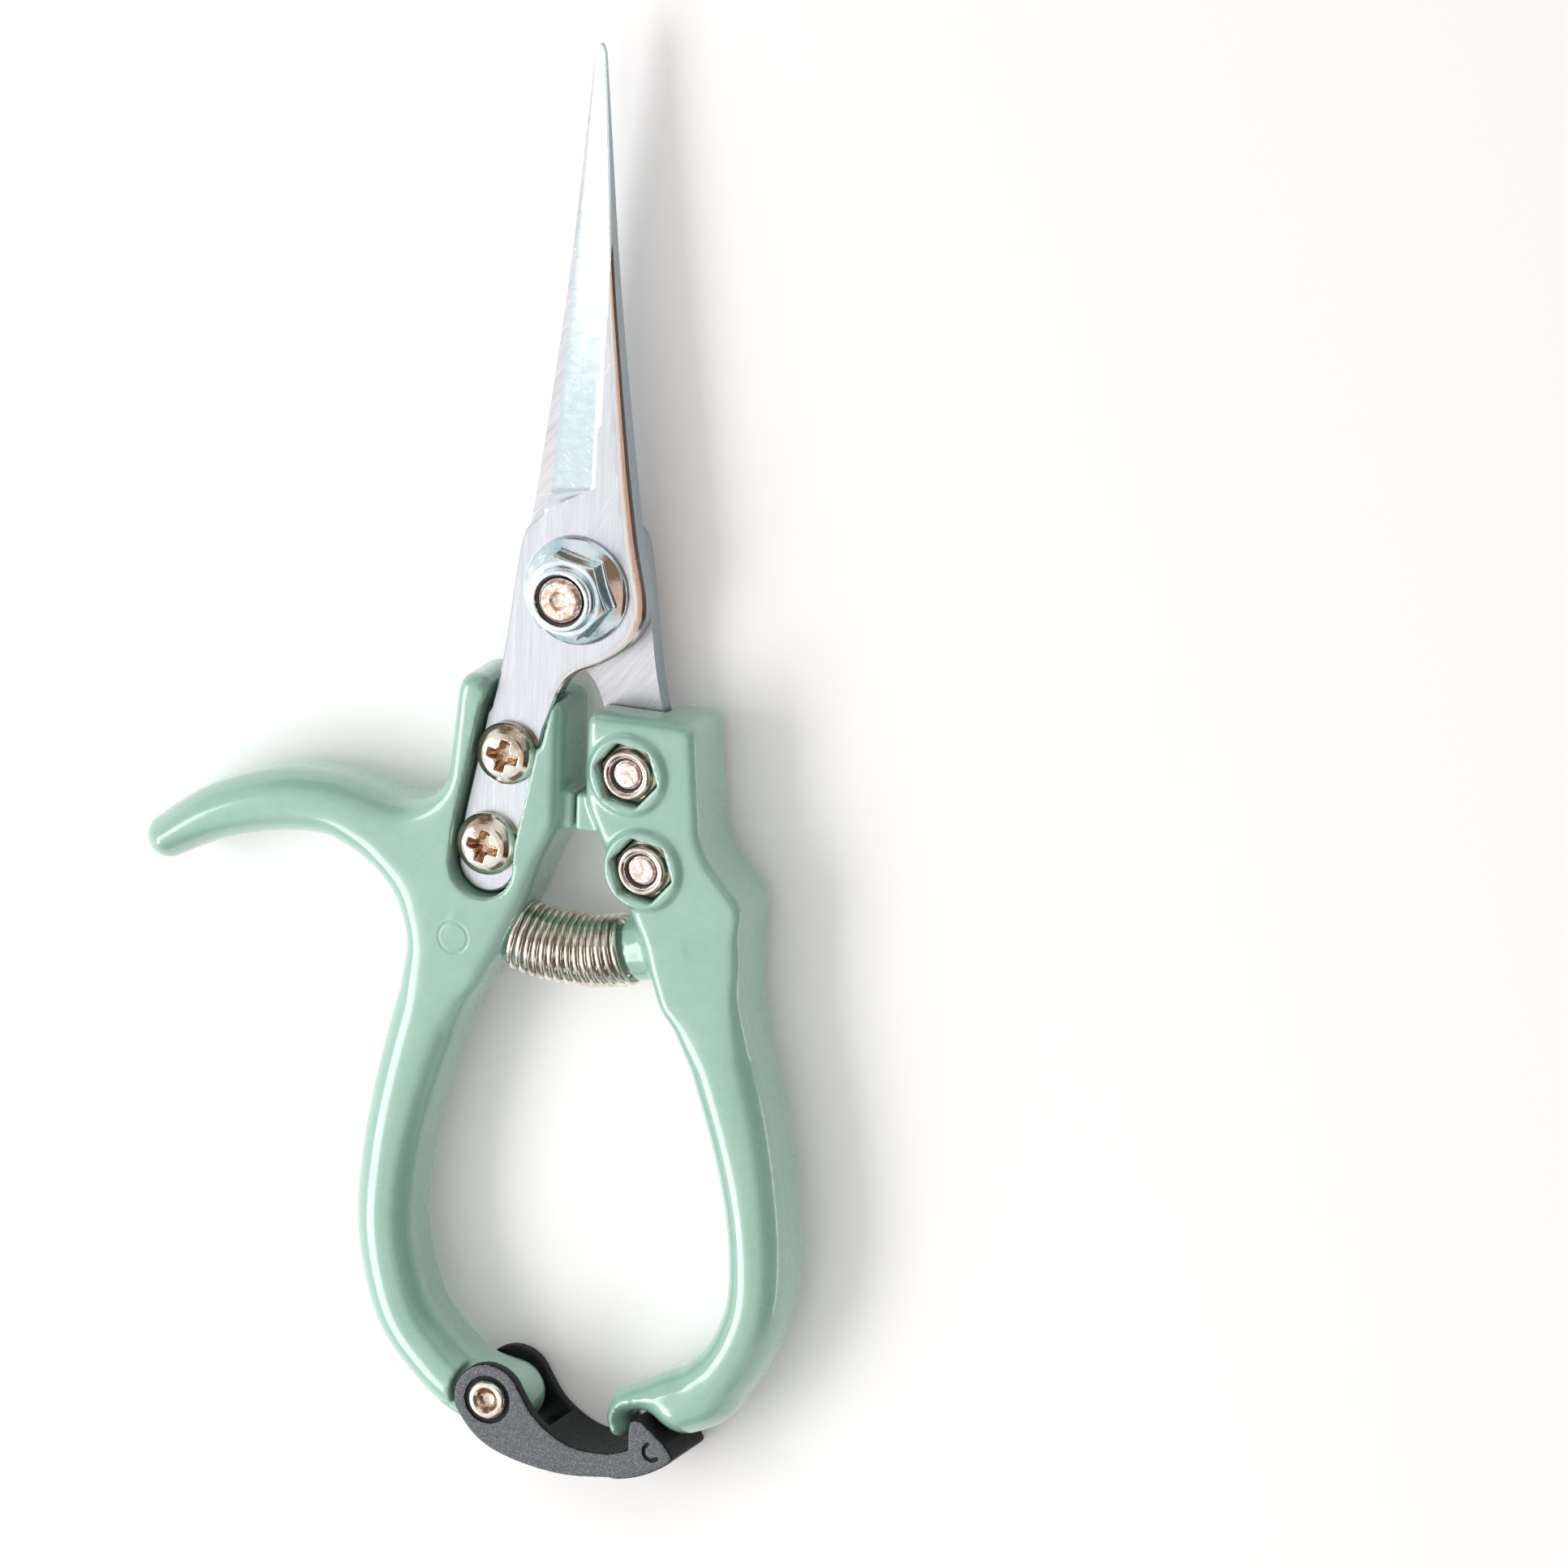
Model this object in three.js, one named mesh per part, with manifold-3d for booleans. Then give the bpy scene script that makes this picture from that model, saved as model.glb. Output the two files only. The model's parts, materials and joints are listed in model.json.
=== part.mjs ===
// Needle-nose garden snips: two straight blades on one pivot bolt, two cast handles, a coil
// return spring and a swinging latch that holds the handles shut.
//
// Millimetres. The tool lies on its back: +Y runs from the pivot to the blade tips, +Z is up
// towards the pivot nut. The origin is on the pivot axis at the back face of the bolt head.
// Everything is drawn about the plane between the two blades, and lifted at the end.

import * as THREE from 'three';
import { mergeVertices } from 'three/addons/utils/BufferGeometryUtils.js';
import { ConvexGeometry } from 'three/addons/geometries/ConvexGeometry.js';
import Module from 'manifold-3d';

// ---------------------------------------------------------------- driving dimensions
const BLADE_REACH = 71.2;          // pivot axis to the blade tips
const SHOULDER_Y = 9.4;            // where the cutting edge starts above the pivot
const BLADE_STOCK = 3.0;           // thickness of the blade plate
const BLADE_GAP = 0.1;             // running gap between the two blades
const TIP_STOCK = 1.1;             // blade thickness left at the tip
const EDGE_STOCK = 0.4;            // thickness left along the cutting edge
const TANG_HALF_WIDTH = 3.95;

const SPRING_Y = -47.2;            // height of the spring's axis below the pivot
const LATCH_Y = -108.1;            // height of the latch rivet below the pivot
const LATCH_X = -8.2;
const CASTING = 11.0;              // thickness of the handle castings
const BLOCK_BEVEL = 1.1;           // bevel round the screw blocks' rims
const LIMB_BEVEL = 2.1;            // bevel along the rounder arms and the thumb hook
const BLOCK_SIDE_THUMB = -0.9;     // inner side of each screw block
const BLOCK_SIDE_PALM = 2.4;
const STOP_X = 0.6;                // where the two stop lugs meet
const STOP_GAP = 0.3;              // left between the lugs when shut
const POCKET_CLEARANCE = 0.35;     // round the tang in its pocket

const SCREW_UPPER_Y = -22.6;
const SCREW_LOWER_Y = -34.9;
const SCREW_RADIUS = 1.95;
const SCREW_HOLE_RADIUS = SCREW_RADIUS + 0.25;
const SCREW_HEAD_RADIUS = 4.1;
const SCREW_HEAD_HEIGHT = 2.5;
const NUT_ACROSS_FLATS = 7.0;
const NUT_HEX_HEIGHT = 3.0;
const NUT_COLLAR_HEIGHT = 1.3;
const NUT_POCKET_CLEARANCE = 0.25; // between a nut's flat and its pocket's wall
const INSERT_WALL = 0.6;           // nylon ring's wall in a lock nut
const INSERT_HEIGHT = 1.0;
const NUT_RECESS = 0.1;            // nut's end below its boss's rim
const NUT_TURN = THREE.MathUtils.degToRad(19);
const BOSS_RADIUS = 5.2;
const BOSS_RISE = 0.8;

const PIVOT_RADIUS = 2.95;
const PIVOT_RUNNING_FIT = 0.09;
const PIVOT_ACROSS_FLATS = 10.0;
const PIVOT_FLANGE_RADIUS = 7.1;
const PIVOT_FLANGE_HEIGHT = 1.3;
const PIVOT_HEX_HEIGHT = 3.6;
const PIVOT_COLLAR_HEIGHT = 1.4;
const PIVOT_COLLAR_RADIUS = PIVOT_RADIUS + 1.25;

const SPRING_RADIUS = 4.35;        // axis of the spring to the centre of the wire
const SPRING_WIRE_RADIUS = 0.45;
const SPRING_TURNS = 13.5;
const SPRING_BOW = 1.0;            // sag of the spring's axis at mid length
const SPRING_SEAT_X = 8.2;         // each peg's shoulder, measured from the centre line
const SPRING_END_GAP = 0.3;
const PEG_RADIUS = SPRING_RADIUS - 0.15;
const PEG_NOSE_RADIUS = SPRING_RADIUS - SPRING_WIRE_RADIUS - 0.6;
const PEG_NOSE_LENGTH = 3.0;

const LATCH_THICKNESS = 11.0;
const LUG_THICKNESS = 7.0;         // the thumb handle's end, inside the latch fork
const FORK_CLEARANCE = 0.3;
const EAR_RADIUS = 4.7;
const RIVET_RADIUS = 1.7;
const RIVET_BORE_RADIUS = 1.1;
const RIVET_FLANGE_RADIUS = 2.45;
const RIVET_FLANGE_HEIGHT = 0.4;
const RIVET_RUNNING_FIT = 0.09;

const SEAT = 0.05;                 // gap left where two flat faces bear on each other
const ROUND = 20;                  // sides of a round fastener
const CAP_SIDES = 7;               // sides of a limb's half-round end
const LIMB_STEPS = 2;              // straight spans between two stations of a limb

const BLADE_FACE = BLADE_GAP / 2 + BLADE_STOCK;
const BOSS_FACE = CASTING / 2 + BOSS_RISE;
const LIFT = BOSS_FACE;            // the bosses' backs and the bolt head's back lie on z = 0

// ---------------------------------------------------------------- materials
const finish = (color, roughness, metalness) => () =>
  new THREE.MeshStandardMaterial({ color, roughness, metalness });
const mintPaint = finish(0xa9d1c1, 0.25, 0.1);
const bladeSteel = finish(0xd9dce0, 0.3, 1.0);
const nickel = finish(0xcfc6bb, 0.18, 1.0);
const zinc = finish(0xc4d2d8, 0.25, 1.0);
const blackPlastic = finish(0x3a3f43, 0.65, 0.0);
const nylon = finish(0x3b3a36, 0.5, 0.0);

// ---------------------------------------------------------------- solids
const wasm = await Module();
wasm.setup();

function solid(geometry) {
  const bare = geometry.clone();
  bare.deleteAttribute('normal');
  bare.deleteAttribute('uv');
  const merged = mergeVertices(bare, 1e-5);
  return new wasm.Manifold(new wasm.Mesh({
    numProp: 3,
    vertProperties: new Float32Array(merged.attributes.position.array),
    triVerts: new Uint32Array(merged.index.array),
  }));
}

function toGeometry(body) {
  const mesh = body.getMesh();
  const geometry = new THREE.BufferGeometry();
  geometry.setAttribute('position', new THREE.BufferAttribute(mesh.vertProperties, 3));
  geometry.setIndex(new THREE.BufferAttribute(mesh.triVerts, 1));
  geometry.computeVertexNormals();
  return geometry;
}

const cut = (body, tools) => tools.reduce((left, tool) => left.subtract(tool), body);
const join = (bodies) => bodies.reduce((sum, body) => sum.add(body));

/** A flat shape raised from z0 to z1. */
function slab(shape, z0, z1, curveSegments = 3) {
  const geometry = new THREE.ExtrudeGeometry(shape, {
    depth: z1 - z0, bevelEnabled: false, curveSegments,
  });
  geometry.translate(0, 0, z0);
  return solid(geometry);
}

/** A flat shape raised from z0 to z1 with its rims eased by a bevel. */
function easedSlab(shape, z0, z1, bevel, curveSegments = 3) {
  const geometry = new THREE.ExtrudeGeometry(shape, {
    depth: z1 - z0 - 2 * bevel,
    bevelEnabled: true,
    bevelThickness: bevel,
    bevelSize: bevel,
    bevelOffset: -bevel,
    bevelSegments: 1,
    curveSegments,
  });
  geometry.translate(0, 0, z0 + bevel);
  return solid(geometry);
}

function rod(radius, z0, z1, x = 0, y = 0, sides = ROUND) {
  const geometry = new THREE.CylinderGeometry(radius, radius, z1 - z0, sides);
  geometry.rotateX(Math.PI / 2);
  geometry.translate(x, y, (z0 + z1) / 2);
  return solid(geometry);
}

function hexagon(acrossFlats, z0, z1, x = 0, y = 0, turn = 0) {
  const geometry = new THREE.CylinderGeometry(
    acrossFlats / Math.sqrt(3), acrossFlats / Math.sqrt(3), z1 - z0, 6);
  geometry.rotateX(Math.PI / 2);
  geometry.rotateZ(turn);
  geometry.translate(x, y, (z0 + z1) / 2);
  return solid(geometry);
}

function box(x0, x1, y0, y1, z0, z1) {
  const geometry = new THREE.BoxGeometry(x1 - x0, y1 - y0, z1 - z0);
  geometry.translate((x0 + x1) / 2, (y0 + y1) / 2, (z0 + z1) / 2);
  return solid(geometry);
}

/** A turned piece: profile is [radius, z] pairs from the axis, or closed on itself. */
function turned(profile, x = 0, y = 0, sides = ROUND) {
  const points = profile.map(([r, z]) => new THREE.Vector2(r, z));
  const geometry = new THREE.LatheGeometry(points, sides);
  geometry.rotateX(Math.PI / 2);
  geometry.translate(x, y, 0);
  return solid(geometry);
}

/** A convex wedge from its corners. */
const wedge = (corners) =>
  solid(new ConvexGeometry(corners.map(([x, y, z]) => new THREE.Vector3(x, y, z))));

const smoothed = (stations, steps) => new THREE.CatmullRomCurve3(
  stations.map(([x, y, half]) => new THREE.Vector3(x, y, half)), false, 'centripetal',
).getPoints((stations.length - 1) * steps);

/**
 * The outline of a gently curved limb with round ends: stations are [x, y, half width] along
 * its middle line.
 */
function limb(stations, grow = 0) {
  const middle = smoothed(stations, LIMB_STEPS);
  const last = middle.length - 1;
  const sides = middle.map((at, i) => {
    const along = middle[Math.min(i + 1, last)].clone().sub(middle[Math.max(i - 1, 0)]);
    const away = new THREE.Vector2(-along.y, along.x).setLength(at.z + grow);
    return [new THREE.Vector2(at.x, at.y).add(away), new THREE.Vector2(at.x, at.y).sub(away)];
  });
  const cap = ({ x, y, z: half }, from) => {
    const start = Math.atan2(from.y - y, from.x - x);
    return Array.from({ length: CAP_SIDES - 1 }, (_, i) => {
      const turn = start - (Math.PI * (i + 1)) / CAP_SIDES;
      return new THREE.Vector2(
        x + (half + grow) * Math.cos(turn), y + (half + grow) * Math.sin(turn));
    });
  };
  return new THREE.Shape([
    ...sides.map(([left]) => left),
    ...cap(middle[last], sides[last][0]),
    ...sides.map(([, right]) => right).reverse(),
    ...cap(middle[0], sides[0][1]),
  ]);
}

/** A tightly bent limb, as a chain of eased pucks each hulled to the next. */
function chain(stations, z0, z1, bevel) {
  const rims = smoothed(stations, 2).map(({ x, y, z: half }) => {
    const rings = [
      [half - bevel, z0], [half, z0 + bevel], [half, z1 - bevel], [half - bevel, z1],
    ];
    return rings.flatMap(([radius, z]) => Array.from({ length: 2 * CAP_SIDES }, (_, i) => {
      const turn = (Math.PI * i) / CAP_SIDES;
      return [x + radius * Math.cos(turn), y + radius * Math.sin(turn), z];
    }));
  });
  return join(rims.slice(1).map((rim, i) => wedge([...rims[i], ...rim])));
}

/** A polygon whose corners are rounded: corners are [x, y, radius]. */
function roundedPolygon(corners) {
  const shape = new THREE.Shape();
  corners.forEach(([x, y, radius], i) => {
    const here = new THREE.Vector2(x, y);
    const towards = (j) => {
      const [px, py] = corners[(j + corners.length) % corners.length];
      const side = new THREE.Vector2(px, py).sub(here);
      return side.setLength(Math.min(radius, 0.45 * side.length())).add(here);
    };
    const before = towards(i - 1);
    const after = towards(i + 1);
    if (i === 0) shape.moveTo(before.x, before.y);
    else shape.lineTo(before.x, before.y);
    shape.quadraticCurveTo(x, y, after.x, after.y);
  });
  return shape;
}

// ---------------------------------------------------------------- shared stations
const bladeY = (part) => SHOULDER_Y + (BLADE_REACH - SHOULDER_Y) * part;
const gripY = (part) => SPRING_Y + (LATCH_Y - SPRING_Y) * part;

const TANG = [
  [-7.9, -18.0, TANG_HALF_WIDTH],
  [-8.8, SCREW_UPPER_Y, TANG_HALF_WIDTH],
  [-10.9, SCREW_LOWER_Y + 2.0, TANG_HALF_WIDTH],
  [-11.3, SCREW_LOWER_Y - 2.6, TANG_HALF_WIDTH],
];
const SCREWS = [
  { x: -8.7, y: SCREW_UPPER_Y, number: 1 },
  { x: -11.1, y: SCREW_LOWER_Y, number: 2 },
];

// ---------------------------------------------------------------- blades
/** The blade whose tang goes to -X, lying on the plane z = 0; the other is this turned over. */
function bladeSolid() {
  const outline = new THREE.Shape();
  outline.moveTo(0, BLADE_REACH);
  outline.splineThru([
    [1.0, bladeY(0.94)], [3.3, bladeY(0.54)], [5.4, bladeY(0.25)], [7.7, SHOULDER_Y - 1.4],
    [9.3, -0.4], [8.8, -3.9], [6.9, -6.9], [3.6, -9.3], [0.2, -11.0], [-1.9, -13.2], [-3.3, -17.0],
  ].map(([x, y]) => new THREE.Vector2(x, y)));
  outline.lineTo(-11.4, -17.0);
  outline.splineThru([
    [-9.9, -10.0], [-8.8, -1.5], [-8.0, SHOULDER_Y - 5.0], [-7.3, SHOULDER_Y - 2.3],
  ].map(([x, y]) => new THREE.Vector2(x, y)));
  outline.lineTo(-5.1, SHOULDER_Y);
  outline.splineThru([
    [-4.0, bladeY(0.25)], [-2.6, bladeY(0.54)], [-0.6, bladeY(0.95)], [0, BLADE_REACH],
  ].map(([x, y]) => new THREE.Vector2(x, y)));

  const low = BLADE_GAP / 2;
  const high = low + BLADE_STOCK;
  const plate = join([slab(outline, low, high), slab(limb(TANG), low, high)]);

  const above = high + 3;
  const edge = low + EDGE_STOCK;
  const beyond = BLADE_REACH + 4;
  const grindEnd = SHOULDER_Y + 2.5;
  const grind = wedge([
    [-6.6, grindEnd, edge - 0.4], [0.6, grindEnd, high], [-6.6, grindEnd, above],
    [0.6, grindEnd, above], [-1.4, beyond, edge - 0.2], [0.2, beyond, high],
    [-1.4, beyond, above], [0.2, beyond, above],
  ]);
  const tip = low + TIP_STOCK;
  const taper = wedge([
    [-12, SHOULDER_Y + 8, high], [12, SHOULDER_Y + 8, high], [-12, beyond, tip],
    [12, beyond, tip], [-12, SHOULDER_Y + 8, above], [12, SHOULDER_Y + 8, above],
    [-12, beyond, above], [12, beyond, above],
  ]);
  const holes = [
    rod(PIVOT_RADIUS + PIVOT_RUNNING_FIT, -1, above, 0, 0, 48),
    ...SCREWS.map(({ x, y }) => rod(SCREW_HOLE_RADIUS, -1, above, x, y)),
  ];
  return cut(plate, [grind, taper, ...holes]);
}

// ---------------------------------------------------------------- handles
// A tang nut ends just below its boss's rim; its base bears on the pocket's floor.
const NUT_BASE = BOSS_FACE - NUT_RECESS - NUT_COLLAR_HEIGHT - NUT_HEX_HEIGHT;

/** What the tang, its screws and their nuts take out of a casting, for the thumb handle. */
function tangCuts() {
  const floor = -SEAT;
  const back = BOSS_FACE + 1;
  const nutPocket = NUT_ACROSS_FLATS + 2 * NUT_POCKET_CLEARANCE;
  return [
    slab(limb(TANG, POCKET_CLEARANCE), floor, back),
    slab(roundedPolygon([
      [-12.3, -19.0, 0.3], [-3.6, -21.0, 0.3], [-2.9, -18.0, 0.3], [-1.5, -13.4, 0.3],
      [-0.4, -9.0, 0.3], [-10.2, -9.0, 0.3], [-10.9, -13.0, 0.3],
    ]), floor, back),
    ...SCREWS.map(({ x, y }) => rod(SCREW_HOLE_RADIUS, -back, 1, x, y)),
    ...SCREWS.map(({ x, y }) => hexagon(nutPocket, -back, SEAT - NUT_BASE, x, y, -NUT_TURN)),
  ];
}

const nutBosses = () => SCREWS.map(({ x, y }) =>
  rod(BOSS_RADIUS, -BOSS_FACE, -CASTING / 2 + 1, x, y));

// The spring's axis sags as a parabola between its ends, and each peg follows its slope there.
const SPRING_INSET = SPRING_SEAT_X - SPRING_WIRE_RADIUS - SPRING_END_GAP;
const SPRING_END_SLOPE = (2 * SPRING_BOW) / SPRING_INSET;

/** The thumb side's spring peg, which reaches back into the casting by its root's length. */
function springPeg(root) {
  const profile = [
    [0, -root], [PEG_RADIUS, -root], [PEG_RADIUS, 0], [PEG_NOSE_RADIUS, 0],
    [PEG_NOSE_RADIUS, PEG_NOSE_LENGTH - 0.6],
    [PEG_NOSE_RADIUS - 0.6, PEG_NOSE_LENGTH], [0, PEG_NOSE_LENGTH],
  ];
  const geometry = new THREE.LatheGeometry(
    profile.map(([r, along]) => new THREE.Vector2(r, along)), ROUND);
  geometry.rotateZ(-Math.PI / 2 - Math.atan(SPRING_END_SLOPE));
  const rise = (SPRING_SEAT_X - SPRING_INSET) * SPRING_END_SLOPE;
  geometry.translate(-SPRING_SEAT_X, SPRING_Y + rise, 0);
  return solid(geometry);
}

/** A stop lug that reaches from inside the casting at x0 to its striking face at x1. */
const stopLug = (x0, x1) => box(x0, x1, -31.6, -26.6, -CASTING / 2 + 2, CASTING / 2 - 2);

function thumbHandle() {
  const half = CASTING / 2;
  const casting = (stations) => easedSlab(limb(stations), -half, half, LIMB_BEVEL);
  const block = easedSlab(roundedPolygon([
    [BLOCK_SIDE_THUMB, -14.4, 2.2], [-10.8, -14.2, 1.5], [-12.0, -12.3, 1.2],
    [-15.6, -13.0, 2.4], [-17.0, -28.2, 3.0], [-22.6, -32.0, 3.0], [-22.6, -46.0, 3.0],
    [-17.8, -55.0, 3.0], [-12.6, -54.0, 2.0], [-9.8, -47.6, 1.5], [BLOCK_SIDE_THUMB, -31.2, 2.0],
  ]), -half, half, BLOCK_BEVEL);
  const thumbHook = casting([
    [-16.0, -38.6, 7.0], [-22.5, -36.9, 5.5], [-28.0, -34.6, 4.4], [-33.5, -33.1, 4.0],
    [-41.0, -33.6, 3.9], [-49.3, -36.4, 3.4], [-55.9, -40.4, 2.8],
  ]);
  const arm = casting([
    [-15.6, gripY(0), 6.0], [-17.4, gripY(0.1), 5.0], [-21.6, gripY(0.34), 4.3],
    [-23.7, gripY(0.52), 4.0], [-24.0, gripY(0.68), 3.95], [-21.4, gripY(0.84), 4.0],
    [-16.8, gripY(0.935), 4.0], [-12.4, gripY(0.99), 4.1], [-7.6, gripY(1.01), 4.2],
  ]);

  const ear = EAR_RADIUS + 0.6;
  const swing = ear + 2.4;
  const lug = LUG_THICKNESS / 2;
  const earRelief = [1, -1].flatMap((face) => {
    const z = [face * lug, face * (half + 1)].sort((a, b) => a - b);
    const corner = box(LATCH_X - swing, LATCH_X, LATCH_Y - swing, LATCH_Y - 1.5, z[0], z[1])
      .intersect(rod(swing, z[0], z[1], LATCH_X, LATCH_Y));
    const end = box(LATCH_X, LATCH_X + swing, LATCH_Y - swing, LATCH_Y + swing, z[0], z[1]);
    return [rod(ear, z[0], z[1], LATCH_X, LATCH_Y), corner, end];
  });
  const body = join([
    block, thumbHook, arm, springPeg(6),
    stopLug(BLOCK_SIDE_THUMB - 2, STOP_X - STOP_GAP / 2), ...nutBosses(),
  ]);
  return cut(body, [
    ...tangCuts(),
    ...earRelief,
    rod(RIVET_RADIUS + RIVET_RUNNING_FIT, -half - 1, half + 1, LATCH_X, LATCH_Y),
  ]);
}

function palmHandle() {
  const half = CASTING / 2;
  const casting = (stations) => easedSlab(limb(stations), -half, half, LIMB_BEVEL);
  const block = easedSlab(roundedPolygon([
    [BLOCK_SIDE_PALM, -15.2, 2.0], [BLOCK_SIDE_PALM, -27.2, 2.0], [11.8, -46.8, 1.5],
    [14.2, -54.0, 2.0], [22.0, -56.0, 3.0], [24.6, -49.0, 2.0], [25.9, -38.4, 1.6],
    [19.4, -31.6, 3.0], [18.0, -15.0, 2.0],
  ]), -half, half, BLOCK_BEVEL);
  const arm = casting([
    [18.4, gripY(0), 5.7], [19.9, gripY(0.1), 5.1], [24.4, gripY(0.34), 4.5],
    [26.5, gripY(0.5), 4.1], [27.3, gripY(0.63), 4.0], [26.9, gripY(0.74), 3.85],
    [24.6, gripY(0.84), 3.75], [20.6, gripY(0.93), 3.8], [17.6, gripY(0.965), 3.8],
  ]);
  const hook = chain([
    [19.5, LATCH_Y + 3.6, 3.6], [16.2, LATCH_Y + 3.5, 2.6], [12.6, LATCH_Y + 2.8, 1.8],
    [9.6, LATCH_Y + 1.6, 1.6], [8.5, LATCH_Y - 0.4, 1.45], [8.9, LATCH_Y - 2.0, 1.4],
  ], -half, half, 0.7);
  const turnedOver = (body) => body.rotate([0, 180, 0]);
  const body = join([
    block, arm, hook, stopLug(STOP_X + STOP_GAP / 2, BLOCK_SIDE_PALM + 2),
    ...[springPeg(9), ...nutBosses()].map(turnedOver),
  ]);
  return cut(body, tangCuts().map(turnedOver));
}

// ---------------------------------------------------------------- fasteners
/** A pan-head cross-recess screw on the tang's face; it ends short of its nut's end. */
function tangScrew({ x, y }) {
  const seat = BLADE_FACE + SEAT;
  const top = seat + SCREW_HEAD_HEIGHT;
  const end = -(BOSS_FACE - 0.5);
  const blank = turned([
    [0, end], [SCREW_RADIUS - 0.4, end], [SCREW_RADIUS, end + 0.4], [SCREW_RADIUS, seat],
    [SCREW_HEAD_RADIUS, seat], [SCREW_HEAD_RADIUS, seat + 1.1],
    [SCREW_HEAD_RADIUS - 0.5, seat + 1.8], [SCREW_HEAD_RADIUS - 1.6, top - 0.2], [0, top],
  ], x, y);
  const recess = [
    box(x - 1.9, x + 1.9, y - 0.45, y + 0.45, top - 1.4, top + 1),
    box(x - 0.45, x + 0.45, y - 1.9, y + 1.9, top - 1.4, top + 1),
  ];
  return cut(blank, recess);
}

/** A hexagon nut on z = base, with a round collar that holds a nylon ring. */
function lockNut({ x, y, base, hexHeight, collarHeight, acrossFlats, collarRadius, bore }) {
  const hexTop = base + hexHeight;
  const end = hexTop + collarHeight;
  const collar = turned([
    [0, hexTop - 0.5], [collarRadius, hexTop - 0.5], [collarRadius, end - 0.3],
    [collarRadius - 0.3, end], [0, end],
  ], x, y);
  const nut = join([hexagon(acrossFlats, base, hexTop, x, y, NUT_TURN), collar]);
  return cut(nut, [
    rod(bore, base - 1, end + 1, x, y),
    rod(bore + INSERT_WALL + SEAT, end - INSERT_HEIGHT, end + 1, x, y),
  ]);
}

/** The nylon ring in a lock nut whose collar ends at end. */
function insertRing({ x, y, end, bore }) {
  const low = end - INSERT_HEIGHT + SEAT;
  const high = end - 0.1;
  const outer = bore + INSERT_WALL;
  return turned([[bore, low], [outer, low], [outer, high], [bore, high], [bore, low]], x, y);
}

function tangNut({ x, y }) {
  return lockNut({
    x, y: -y, base: NUT_BASE, hexHeight: NUT_HEX_HEIGHT, collarHeight: NUT_COLLAR_HEIGHT,
    acrossFlats: NUT_ACROSS_FLATS, collarRadius: NUT_ACROSS_FLATS / 2 - 0.25,
    bore: SCREW_RADIUS + 0.12,
  }).rotate([180, 0, 0]);
}

function tangNutInsert({ x, y }) {
  return insertRing({
    x, y: -y, end: BOSS_FACE - NUT_RECESS, bore: SCREW_RADIUS + 0.12,
  }).rotate([180, 0, 0]);
}

const PIVOT_NUT_BASE = BLADE_FACE + SEAT;
const PIVOT_NUT_HEX_BASE = PIVOT_NUT_BASE + PIVOT_FLANGE_HEIGHT - 0.5;
const PIVOT_NUT_TOP = PIVOT_NUT_HEX_BASE + PIVOT_HEX_HEIGHT + PIVOT_COLLAR_HEIGHT;
const PIVOT_BORE = PIVOT_RADIUS + 0.15;

function pivotBolt() {
  const head = -(BLADE_FACE + SEAT);
  const end = PIVOT_NUT_TOP + 0.2;
  const shank = turned([
    [0, head - 0.5], [PIVOT_RADIUS, head - 0.5], [PIVOT_RADIUS, end - 0.6],
    [PIVOT_RADIUS - 0.6, end], [0, end],
  ], 0, 0, 48);
  return join([shank, hexagon(PIVOT_ACROSS_FLATS, -BOSS_FACE, head, 0, 0, NUT_TURN)]);
}

function pivotNut() {
  const flange = turned([
    [0, PIVOT_NUT_BASE], [PIVOT_FLANGE_RADIUS, PIVOT_NUT_BASE],
    [PIVOT_FLANGE_RADIUS, PIVOT_NUT_BASE + 0.6],
    [PIVOT_COLLAR_RADIUS + 0.6, PIVOT_NUT_BASE + PIVOT_FLANGE_HEIGHT],
    [0, PIVOT_NUT_BASE + PIVOT_FLANGE_HEIGHT],
  ], 0, 0, 48);
  const nut = lockNut({
    x: 0, y: 0, base: PIVOT_NUT_HEX_BASE, hexHeight: PIVOT_HEX_HEIGHT,
    collarHeight: PIVOT_COLLAR_HEIGHT, acrossFlats: PIVOT_ACROSS_FLATS,
    collarRadius: PIVOT_COLLAR_RADIUS, bore: PIVOT_BORE,
  });
  return cut(join([flange, nut]), [rod(PIVOT_BORE, PIVOT_NUT_BASE - 1, PIVOT_NUT_TOP)]);
}

const pivotNutInsert = () => insertRing({ x: 0, y: 0, end: PIVOT_NUT_TOP, bore: PIVOT_BORE });

// ---------------------------------------------------------------- spring
/** The centre line of the spring's wire, its turns square to the sagging axis. */
class SpringWire extends THREE.Curve {
  getPoint(part, target = new THREE.Vector3()) {
    const along = 2 * part - 1;
    const tilt = Math.atan(SPRING_END_SLOPE * along);
    const turn = 2 * Math.PI * SPRING_TURNS * part;
    const up = SPRING_RADIUS * Math.cos(turn);
    return target.set(
      SPRING_INSET * along - up * Math.sin(tilt),
      SPRING_Y - SPRING_BOW * (1 - along ** 2) + up * Math.cos(tilt),
      SPRING_RADIUS * Math.sin(turn));
  }
}

function returnSpring() {
  const section = new THREE.Shape();
  section.absarc(0, 0, SPRING_WIRE_RADIUS, 0, 2 * Math.PI);
  return solid(new THREE.ExtrudeGeometry(section, {
    steps: Math.round(SPRING_TURNS * 10),
    extrudePath: new SpringWire(),
    curveSegments: 3,
  }));
}

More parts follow.
